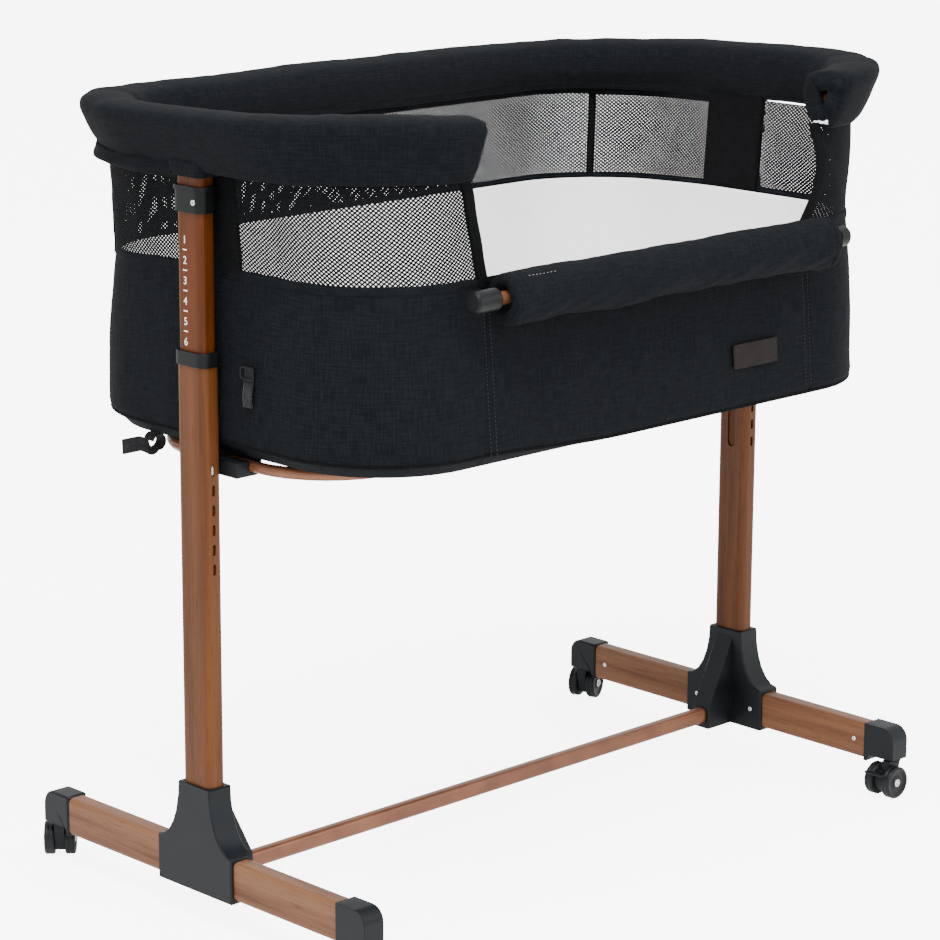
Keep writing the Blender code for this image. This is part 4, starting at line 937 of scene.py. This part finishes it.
liner = piece("liner", laid_grid(420, 40, (TUB_ROUND, 0.185), liner_place), cotton, "carriage")
thicken(liner, 0.0009, -1)
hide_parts("inner_liner")
print("liner:", len(liner.data.polygons), "faces")

# %% The mattress
pad_low, pad_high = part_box("mattress")
PAD_PLAN = (pad_high.x, pad_high.y, 0.108)
PAD_EDGE = 0.012                                  # rounding of its edges


def mattress_place(share, up):
    tall = pad_high.z - pad_low.z
    if up < 0.3:                                  # the underside, from its middle out
        size, z = max(0.001, up / 0.3), pad_low.z
    elif up < 0.5:                                # the side, bulging between two edges
        turn = (up - 0.3) / 0.2 * math.pi
        spot, away = plan_at(PAD_PLAN, share * plan_length(PAD_PLAN))
        out = PAD_EDGE * 0.35 * math.sin(turn) - PAD_EDGE * 0.35
        return Vector((spot.x + away.x * out, spot.y + away.y * out,
                       pad_low.z + tall * (1 - math.cos(turn)) / 2 * 0.94))
    else:                                         # the crowned top
        size = max(0.001, 1 - (up - 0.5) / 0.5)
        z = pad_high.z - 0.06 * tall * size ** 6
    spot, away = plan_at(PAD_PLAN, share * plan_length(PAD_PLAN))
    spot = (spot - away * PAD_EDGE * 0.35) * size
    if up >= 0.5:
        z += 0.0008 * noise.noise(Vector((spot.x * 14, spot.y * 14, 2))) * (1 - size ** 4)
    return Vector((spot.x, spot.y, z))


mattress_shape = laid_grid(240, 80, (2.2, 0.5), mattress_place)
bmesh.ops.holes_fill(mattress_shape, edges=[e for e in mattress_shape.edges if e.is_boundary], sides=0)
bmesh.ops.recalc_face_normals(mattress_shape, faces=mattress_shape.faces)
pad = piece("mattress_pad", mattress_shape, cotton, "carriage")
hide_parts("mattress")
print("mattress:", len(pad.data.polygons), "faces")

# %% [markdown]
# ## The drop side
#
# With the side down, its mesh is rolled round the front rail. The roll is a loose sleeve:
# tight on top where the rail carries it, hanging in soft diagonal folds below, and
# gathered round the rail at both ends. A fine net joins it to the tub's top edge. On the
# real side that net is pulled up when the rail is lifted, and it spreads into diamonds as
# it rises. Here it is laid only as it hangs with the side down, its rows packed close, and
# it does not ride with the rail.

# %% The rolled sleeve
rail_low, rail_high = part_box("front_rail")
RAIL_Y, RAIL_Z = (rail_low.y + rail_high.y) / 2, (rail_low.z + rail_high.z) / 2
ROLL_RADIUS = (roll_high.z - roll_low.z) / 2
ROLL_HALF = roll_high.x


def roll_place(along, round_it):
    turn = -round_it * 2 * math.pi
    x = mix(-ROLL_HALF, ROLL_HALF, along)
    end = min(x + ROLL_HALF, ROLL_HALF - x)
    down = 0.5 - 0.5 * math.sin(turn)             # 0 on top, 1 underneath
    fold = noise.noise(Vector((x * 13 + down * 1.6, down * 1.2, 4)))
    slant = noise.noise(Vector((x * 34 + down * 4.5, math.cos(turn) * 1.3, 8)))
    fine = noise.noise(Vector((x * 95 + down * 3, math.cos(turn) * 6, math.sin(turn) * 6)))
    radius = ROLL_RADIUS * (0.90 + (0.14 * fold + 0.10 * slant) * (0.3 + 0.7 * down) + 0.02 * fine)
    radius += 0.0035 * down
    hem = 0.0009 * bell(end - 0.014, 0.0016)
    radius = radius * (0.72 + 0.28 * math.sqrt(max(0.0, 1 - max(0.0, 1 - end / 0.010) ** 2))) - hem
    y = RAIL_Y + 0.0015 + math.cos(turn) * radius * 0.93
    z = RAIL_Z - 0.001 + math.sin(turn) * radius * 1.0
    return Vector((x, min(y, -tub_high.y + 0.0135 - 0.0065), z))


roll_shape = laid_grid(300, 72, (2 * ROLL_HALF, 0.176), roll_place)
sides = [edge for edge in roll_shape.edges if edge.is_boundary]
caps = bmesh.ops.holes_fill(roll_shape, edges=sides, sides=0)["faces"]
for cap in list(caps):                            # each end is gathered in toward the rail
    middle = cap.calc_center_median()
    inward = Vector((-1 if middle.x > 0 else 1, 0, 0))
    bmesh.ops.inset_region(roll_shape, faces=[cap], thickness=0.004)
    bmesh.ops.inset_region(roll_shape, faces=[cap], thickness=0.0035)
    for vert in cap.verts:
        vert.co += inward * 0.007
bmesh.ops.recalc_face_normals(roll_shape, faces=roll_shape.faces)
roll = piece("drop_side_roll", roll_shape, linen, "drop_side")
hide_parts("front_roll")
print("roll:", len(roll.data.polygons), "faces")

# %% The net between the tub and the roll, packed close while the side is down
PANEL_HALF = ROLL_HALF - 0.006
PANEL_START = Vector((0, -0.2385, tub_high.z - 0.0005))
PANEL_END = Vector((0, RAIL_Y + ROLL_RADIUS * 0.70, RAIL_Z + ROLL_RADIUS * 0.66))
LIFT = 0.115


def panel_place(along, up):
    packed = 0.5 - math.sin(math.asin(1 - 2 * min(1, max(0, up))) / 3)
    spot = PANEL_START.lerp(PANEL_END, packed)
    spot.x = mix(-PANEL_HALF, PANEL_HALF, along)
    return spot


panel = piece("drop_side_net", diamond_net(2 * PANEL_HALF, LIFT, panel_place, 0.0016), yarn, None)
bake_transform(panel)
print("net:", len(panel.data.polygons), "faces")


# %% [markdown]
# ## Finishes for the fixed solids
#
# The posts, feet, connectors and casters keep their solids. Their meshes are loose
# triangles with sharp edges, so modifiers do the polishing: a weld joins the points, a
# narrow bevel catches the light along each edge as a moulded part does, and weighted
# normals keep the broad faces flat. The vertices themselves are never touched.

# %% Give each solid its finish
SOLID_FINISH = {
    "outer_post": wood_outer, "inner_post": wood_inner, "foot_tube": wood_foot,
    "cross_bar": copper, "lower_ring": copper, "rim_tube": copper, "front_rail": copper,
    "t_joint": charcoal, "foot_cap": charcoal, "post_collar": black_moulding,
    "post_clamp": black_moulding, "head_plug": black_moulding, "lower_bracket": charcoal,
    "rail_hub": black_moulding, "caster_yoke": charcoal, "caster_axle": steel,
    "brake_lever": charcoal, "wheel_inner": tread, "wheel_outer": tread,
    "lock_button": white_trim, "base_board": board_cloth, "label": leather,
    "anchor_strap": webbing,
}
EDGE_WIDTH = {"t_joint": 0.0012, "foot_cap": 0.0010, "lower_bracket": 0.0008}
ROUND_BARS = ("cross_bar", "lower_ring", "rim_tube", "front_rail", "caster_axle", "lock_button")
for node, solid in frame["nodes"].items():
    kind = next((kind for kind in SOLID_FINISH if node.startswith(kind)), None)
    if not kind:
        continue
    solid.data.materials.clear()
    solid.data.materials.append(SOLID_FINISH[kind])
    for polygon in solid.data.polygons:
        polygon.material_index = 0
    solid.data.shade_smooth()
    weld = solid.modifiers.new("join points", "WELD")
    weld.merge_threshold = 0.00001
    if kind not in ROUND_BARS:
        edge = solid.modifiers.new("soft edges", "BEVEL")
        edge.width = EDGE_WIDTH.get(kind, 0.0005)
        edge.segments = 2
        edge.limit_method = "ANGLE"
        edge.angle_limit = math.radians(38)
        edge.harden_normals = True
    flat = solid.modifiers.new("flat faces", "WEIGHTED_NORMAL")
    flat.keep_sharp = True
print("finished", len(frame["nodes"]), "solids")

# %% [markdown]
# ## Wheels
#
# Each caster wheel is turned from a half section: a rounded tread with a shallow groove,
# a dished face with a raised rim, and a boss with a bright cap on the outside. Turning
# in many steps gives the round outline that the coarse collision wheels lack.

# %% Turned shapes
def turned(profile, centre, axis, steps=48):
    """A closed shape from (radius, height) points, spun round an axis through the centre."""
    shape = bmesh.new()
    line = [shape.verts.new((radius, 0, height)) for radius, height in profile]
    edges = [shape.edges.new(pair) for pair in zip(line, line[1:])]
    bmesh.ops.spin(shape, geom=line + edges, cent=(0, 0, 0), axis=(0, 0, 1),
                   angle=2 * math.pi, steps=steps, use_merge=True)
    bmesh.ops.remove_doubles(shape, verts=shape.verts, dist=0.000005)
    bmesh.ops.recalc_face_normals(shape, faces=shape.faces)
    turn = Vector(axis).to_track_quat("Z", "Y").to_matrix().to_4x4()
    bmesh.ops.transform(shape, matrix=Matrix.Translation(centre) @ turn, verts=shape.verts)
    return shape


def box_of(node):
    low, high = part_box(node)
    return (low + high) / 2, high - low


WHEEL_R = 0.0190
JOINTS = {joint["name"]: joint for joint in frame["joints"]}
for end in ("front", "rear"):
    for side in ("left", "right"):
        axle = Vector(JOINTS[f"roll_{end}_{side}"]["axis"]).normalized()
        hub, _ = box_of(f"caster_axle_{end}_{side}")
        for which, sign in (("inner", -1), ("outer", 1)):
            node = f"wheel_{which}_{end}_{side}"
            middle, _ = box_of(node)
            out = axle * (1 if (middle - hub).dot(axle) > 0 else -1)
            half = 0.00575
            profile = [(0.0031, half - 0.0006), (0.0062, half - 0.0006), (0.0068, half - 0.0018),
                       (0.0145, half - 0.0022), (0.0154, half - 0.0002), (0.0168, half),
                       (0.0181, half - 0.0006), (WHEEL_R, half - 0.0018), (WHEEL_R, 0.0009),
                       (WHEEL_R - 0.0004, 0.0005), (WHEEL_R - 0.0004, -0.0005), (WHEEL_R, -0.0009),
                       (WHEEL_R, 0.0016 - half), (0.0180, -half), (0.0031, -half),
                       (0.0031, half - 0.0006)]
            wheel = piece(f"caster_{node}", turned(profile, middle, out), tread,
                          f"wheels_{end}_{side}")
            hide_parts(node)
            dome = [(0.0, half + 0.0006), (0.0022, half + 0.0004), (0.0040, half),
                    (0.0046, half - 0.0004), (0.0046, half - 0.0012), (0.0, half - 0.0012)]
            piece(f"cap_{node}", turned(dome, middle, out, 24), steel, f"wheels_{end}_{side}")
print("wheels done")

# %% [markdown]
# ## Screws, rivets and numbers
#
# Small bright fasteners break up the dark mouldings. Each is a low dome with a cross cut
# into it, set on the face that it fastens. The level numbers are printed on the near
# inner tube: text is made a mesh, laid on the tube's face and given a hair's thickness.

# %% A screw head
def screw(name, spot, out, body, radius=0.0032):
    head = [(0.0, 0.0011), (radius * 0.55, 0.0010), (radius * 0.85, 0.0006), (radius, 0.0),
            (radius, -0.0008), (0.0, -0.0008)]
    shape = turned(head, (0, 0, 0), (0, 0, 1), 28)
    for side in (0, 1):                           # press a cross into the dome
        for vert in shape.verts:
            one, other = (vert.co.x, vert.co.y) if side else (vert.co.y, vert.co.x)
            if abs(one) < radius * 0.16 and abs(other) < radius * 0.62 and vert.co.z > 0:
                vert.co.z -= 0.0007
    turn = Vector(out).to_track_quat("Z", "Y").to_matrix().to_4x4()
    bmesh.ops.transform(shape, matrix=Matrix.Translation(spot) @ turn, verts=shape.verts)
    return piece(name, shape, steel, body)


clamp_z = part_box("post_clamp_left")[0].z + 0.011
for side, sign in (("left", -1), ("right", 1)):
    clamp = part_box(f"post_clamp_{side}")
    face = clamp[0].x if sign < 0 else clamp[1].x
    shelf = 0.0016 * sign                         # the band below the lip stands back
    screw(f"clamp_rivet_{side}", (face - shelf, -0.011, clamp_z), (sign, 0, 0), "carriage")
    inner_face = clamp[1].x if sign < 0 else clamp[0].x
    screw(f"clamp_rivet_inside_{side}", (inner_face + shelf, -0.011, clamp_z), (-sign, 0, 0), "carriage")
    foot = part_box(f"foot_tube_{side}")
    foot_middle = (foot[0].z + foot[1].z) / 2
    inside = (foot[0].x if sign > 0 else foot[1].x)
    for end, toward in (("front", -1), ("rear", 1)):
        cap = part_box(f"foot_cap_{end}_{side}")
        y = toward * (min(abs(cap[0].y), abs(cap[1].y)) + 0.0060)
        screw(f"cap_screw_{end}_{side}", (inside, y, foot_middle), (-sign, 0, 0), "stand", 0.0028)
        screw(f"socket_screw_{end}_{side}", (inside - sign * 0.0034, toward * 0.043, foot_middle),
              (-sign, 0, 0), "stand", 0.0030)
print("screws done")

# %% The level numbers on the near inner tube
inner_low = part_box("inner_post_left")[0]
NUMBER_TOP, NUMBER_PITCH, NUMBER_TALL = 0.7245, 0.021, 0.0085
NUMBER_Y = 0.006
to_face = Matrix(((0, 0, -1, inner_low.x - 0.00012), (-1, 0, 0, 0), (0, 1, 0, 0), (0, 0, 0, 1)))
marks = bmesh.new()
for level in range(6):
    letter = bpy.data.curves.new(f"level_{level + 1}", "FONT")
    letter.body = str(level + 1)
    letter.size = NUMBER_TALL * 1.35
    letter.align_x = "CENTER"
    letter.extrude = 0.00006
    text = link(f"level_{level + 1}", letter)
    flat_text = bpy.data.meshes.new_from_object(text)
    spot = Matrix.Translation((0, NUMBER_Y, NUMBER_TOP - level * NUMBER_PITCH))
    flat_text.transform(spot @ to_face)
    marks.from_mesh(flat_text)
    bpy.data.objects.remove(text)
    bpy.data.curves.remove(letter)
    bpy.data.meshes.remove(flat_text)
    tick = bmesh.ops.create_cube(marks, size=1)["verts"]
    tick_place = Matrix.Translation((inner_low.x - 0.00012, NUMBER_Y,
                                     NUMBER_TOP - level * NUMBER_PITCH - 0.0065))
    bmesh.ops.transform(marks, verts=tick,
                        matrix=tick_place @ Matrix.Diagonal((0.00012, 0.0062, 0.0013, 1)))
piece("level_numbers", marks, white_trim, "carriage")
print("numbers done")

# %% [markdown]
# ## Label and stitches
#
# A blank leather tag is sewn on the front. Rows of stitches run along the seams, round
# the tag and along the roll. A stitch is a tiny rounded bar, and each one is placed and
# turned to follow the seam.

# %% The leather tag
tag_low, tag_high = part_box("label")
tag_middle = (tag_low + tag_high) / 2
TAG_WIDE, TAG_TALL, TAG_ROUND = tag_high.x - tag_low.x, 0.027, 0.0022


def front_wall(x, z, out):
    """A point on the tub's front wall, moved outward."""
    spot = tub_place((x / TUB_ROUND) % 1, z)
    return Vector((x, spot.y - out, z))


def tag_place(along, up):
    x = (along - 0.5) * TAG_WIDE
    z = (up - 0.5) * TAG_TALL
    corner = Vector((max(0, abs(x) - TAG_WIDE / 2 + TAG_ROUND),
                     max(0, abs(z) - TAG_TALL / 2 + TAG_ROUND)))
    if corner.length > TAG_ROUND:
        corner *= TAG_ROUND / corner.length
        x = math.copysign(TAG_WIDE / 2 - TAG_ROUND + corner.x, x)
        z = math.copysign(TAG_TALL / 2 - TAG_ROUND + corner.y, z)
    edge = min(TAG_WIDE / 2 - abs(x), TAG_TALL / 2 - abs(z))
    thick = 0.0052 - 0.0007 * bell(edge, 0.0006) - 0.0004 * bell(edge - 0.0022, 0.0005)
    curl = 0.0009 * noise.noise(Vector((x * 45, z * 60, 3)))
    return front_wall(tag_middle.x + x, tag_middle.z + z, thick + curl)


tag = piece("leather_tag", laid_grid(96, 40, (TAG_WIDE, TAG_TALL), tag_place), leather, "carriage")
thicken(tag, 0.0013)
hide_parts("label")

# %% Stitches along a line of points
def stitches(name, points, material, body, gap=0.0042, long=0.0028, thick=0.00035):
    """Small rounded bars laid end to end along a line, each turned to follow it."""
    thread = bmesh.new()
    lengths = [0.0]
    for one, two in zip(points, points[1:]):
        lengths.append(lengths[-1] + (two - one).length)
    count = int(lengths[-1] / gap)
    index = 0
    for number in range(count):
        at = (number + 0.5) * gap
        while index < len(lengths) - 2 and lengths[index + 1] < at:
            index += 1
        one, two = points[index], points[index + 1]
        part = (at - lengths[index]) / max(1e-9, lengths[index + 1] - lengths[index])
        ball = bmesh.ops.create_icosphere(thread, subdivisions=1, radius=1)["verts"]
        turn = (two - one).to_track_quat("X", "Z").to_matrix().to_4x4()
        bmesh.ops.transform(thread, verts=ball, matrix=Matrix.Translation(one.lerp(two, part)) @ turn
                            @ Matrix.Diagonal((long / 2, thick, thick, 1)))
    return piece(name, thread, material, body)


thread_dark = moulded_finish("charcoal thread", (0.012, 0.014, 0.017), (0.03, 0.034, 0.039), 2500.0, 0.3)
thread_pale = moulded_finish("grey thread", (0.16, 0.16, 0.16), (0.33, 0.33, 0.32), 2500.0, 0.3)
upright = [i / 60 for i in range(61)]
SEAM_ROW = 0.0042                                 # from the seam to the stitches on each side
SEAM_OUT, TAG_OUT = 0.0030, 0.0050                # how far the stitches stand off the wall
TAG_ROW = 0.0024                                  # from the tag's edge to its stitches
for side, x in (("left", -SEAM_X), ("right", SEAM_X)):
    for row in (-SEAM_ROW, SEAM_ROW):
        line = [front_wall(x + row, mix(TUB_EDGE_TOP, tub_high.z - 0.010, up), SEAM_OUT)
                for up in upright]
        stitches(f"front_seam_stitches_{side}_{'out' if row * x > 0 else 'in'}", line, thread_dark,
                 "carriage")
box_line = [(-1, -1), (1, -1), (1, 1), (-1, 1), (-1, -1)]
tag_line = [front_wall(tag_middle.x + u * (TAG_WIDE / 2 - TAG_ROW),
                       tag_middle.z + v * (TAG_TALL / 2 - TAG_ROW), TAG_OUT) for u, v in box_line]
stitches("tag_stitches", tag_line, thread_dark, "carriage", 0.0030, 0.0021, 0.00028)
print("stitches done")

# %% Thread showing on the roll's top seam
ROLL_FROM, ROLL_TO, ROLL_UP = 0.045, 0.135, 0.655      # shares along and round the roll
roll_line = [roll_place(mix(ROLL_FROM, ROLL_TO, up), ROLL_UP) + Vector((0, -0.0004, 0.0004))
             for up in upright]
thread_row = stitches("roll_stitches", roll_line, thread_pale, "drop_side", 0.0052, 0.0026, 0.0004)
print("thread on the roll:", len(thread_row.data.vertices), "points")

# %% [markdown]
# ## Straps, post sleeves and a lining
#
# The last cloth parts are small. The strap goes round the lower frame's tube and its
# tail is twisted on edge. The tab is a strip of webbing against the tub's wall, with a
# small plastic loop at its top. Each post wears a short sleeve of the rim's cloth, and
# a scrap of white lining shows inside the rim's open end.

# %% The strap round the lower frame, with its tail turned on edge
STRAP_MIDDLE_Y, STRAP_LONG, STRAP_WIDE = 0.115, 0.075, 0.016
STRAP_LOOP = 0.45                                 # the share of it that goes round the tube
STRAP_ROUND = 0.0084                              # its radius there
RING_TUBE = 0.0065                                # the tube's own radius
ring_middle = Vector((ring_low.x + RING_TUBE, STRAP_MIDDLE_Y, (ring_low.z + ring_high.z) / 2))
STRAP_END_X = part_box("anchor_strap")[0].x - 0.008


def strap_place(along, up):
    """First round the tube, then out as a tail that turns on edge."""
    wrap = min(1.0, along / STRAP_LOOP)
    turn = math.radians(mix(170, -95, wrap))
    spot = ring_middle + Vector((math.cos(turn), 0, math.sin(turn))) * STRAP_ROUND
    tail = max(0.0, (along - STRAP_LOOP) / (1 - STRAP_LOOP))
    spot.x = mix(spot.x, STRAP_END_X, tail)
    spot.z += 0.0085 * ease(tail * 2)
    twist = math.radians(86) * ease(tail * 5)
    across = Vector((0, math.cos(twist), math.sin(twist)))
    return spot + across * (up - 0.5) * STRAP_WIDE


strap = piece("frame_strap", laid_grid(72, 8, (STRAP_LONG, STRAP_WIDE), strap_place), webbing,
              "carriage")
thicken(strap, 0.0012, 0.0)
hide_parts("anchor_strap")
print("strap:", STRAP_LONG, "m long,", STRAP_WIDE, "m wide")

# %% A hanging tab with its slider beside the near post
TAB_SHARE, TAB_TOP, TAB_TALL, TAB_WIDE = on_side(-0.4, -0.062), 0.600, 0.042, 0.013


def tab_place(along, up):
    share = TAB_SHARE + (along - 0.5) * TAB_WIDE / TUB_ROUND
    wave = 0.0012 * math.sin(5 * up)
    return tub_place(share, TAB_TOP - TAB_TALL * (1 - up), 0.0052 + wave)


tab = piece("hanging_tab", laid_grid(10, 40, (TAB_WIDE, TAB_TALL), tab_place), webbing, "carriage")
thicken(tab, 0.0012)
slider = band((0.0095, 0.0060, 0.0025), oval(0, 0, 0.0015, 0.0012), 0, 1, 64, 8, (0.05, 0.009))
stand_up = Matrix(((0, 0, -1, 0), (-1, 0, 0, 0), (0, 1, 0, 0), (0, 0, 0, 1)))
bmesh.ops.transform(slider, verts=slider.verts, matrix=Matrix.Translation(
    tub_place(TAB_SHARE, TAB_TOP - 0.004, 0.0070)) @ stand_up)
piece("tab_slider", slider, black_moulding, "carriage")
print("tab:", TAB_TALL, "m long,", TAB_WIDE, "m wide")

# %% A short sleeve of the rim's cloth down each post, and the open end's white lining
SLEEVE_PLAN = (0.0142, 0.0232, 0.006)
SLEEVE_SECTION = [(0.0004, 0.8135), (0.0030, 0.808), (0.0024, 0.800), (0.0012, 0.7945),
                  (0.0002, 0.7940), (-0.0004, 0.800)]
LINING_WIDE, LINING_TALL = 0.021, 0.019
for side, sign in (("left", -1), ("right", 1)):
    sleeve = band(SLEEVE_PLAN, SLEEVE_SECTION, 0, 1, 96, 14, (0.14, 0.03))
    bmesh.ops.translate(sleeve, verts=sleeve.verts, vec=(sign * POST_X, 0, 0))
    piece(f"post_sleeve_{side}", sleeve, linen, "carriage")


def lining_place(along, up):
    side = (along - 0.5) * LINING_WIDE * (1 - 0.85 * up)
    crumple = 0.0012 * noise.noise(Vector((along * 5, up * 5, 2)))
    return Vector((OPENING + 0.0015 + 0.007 * up + crumple, -RIM_PLAN[1] + 0.001 + side,
                   0.8060 + 0.0180 * up + crumple))


lining = piece("rim_end_lining", laid_grid(20, 20, (LINING_WIDE, LINING_TALL), lining_place),
               cotton, "carriage")
thicken(lining, 0.0008)
print("small cloth parts done")
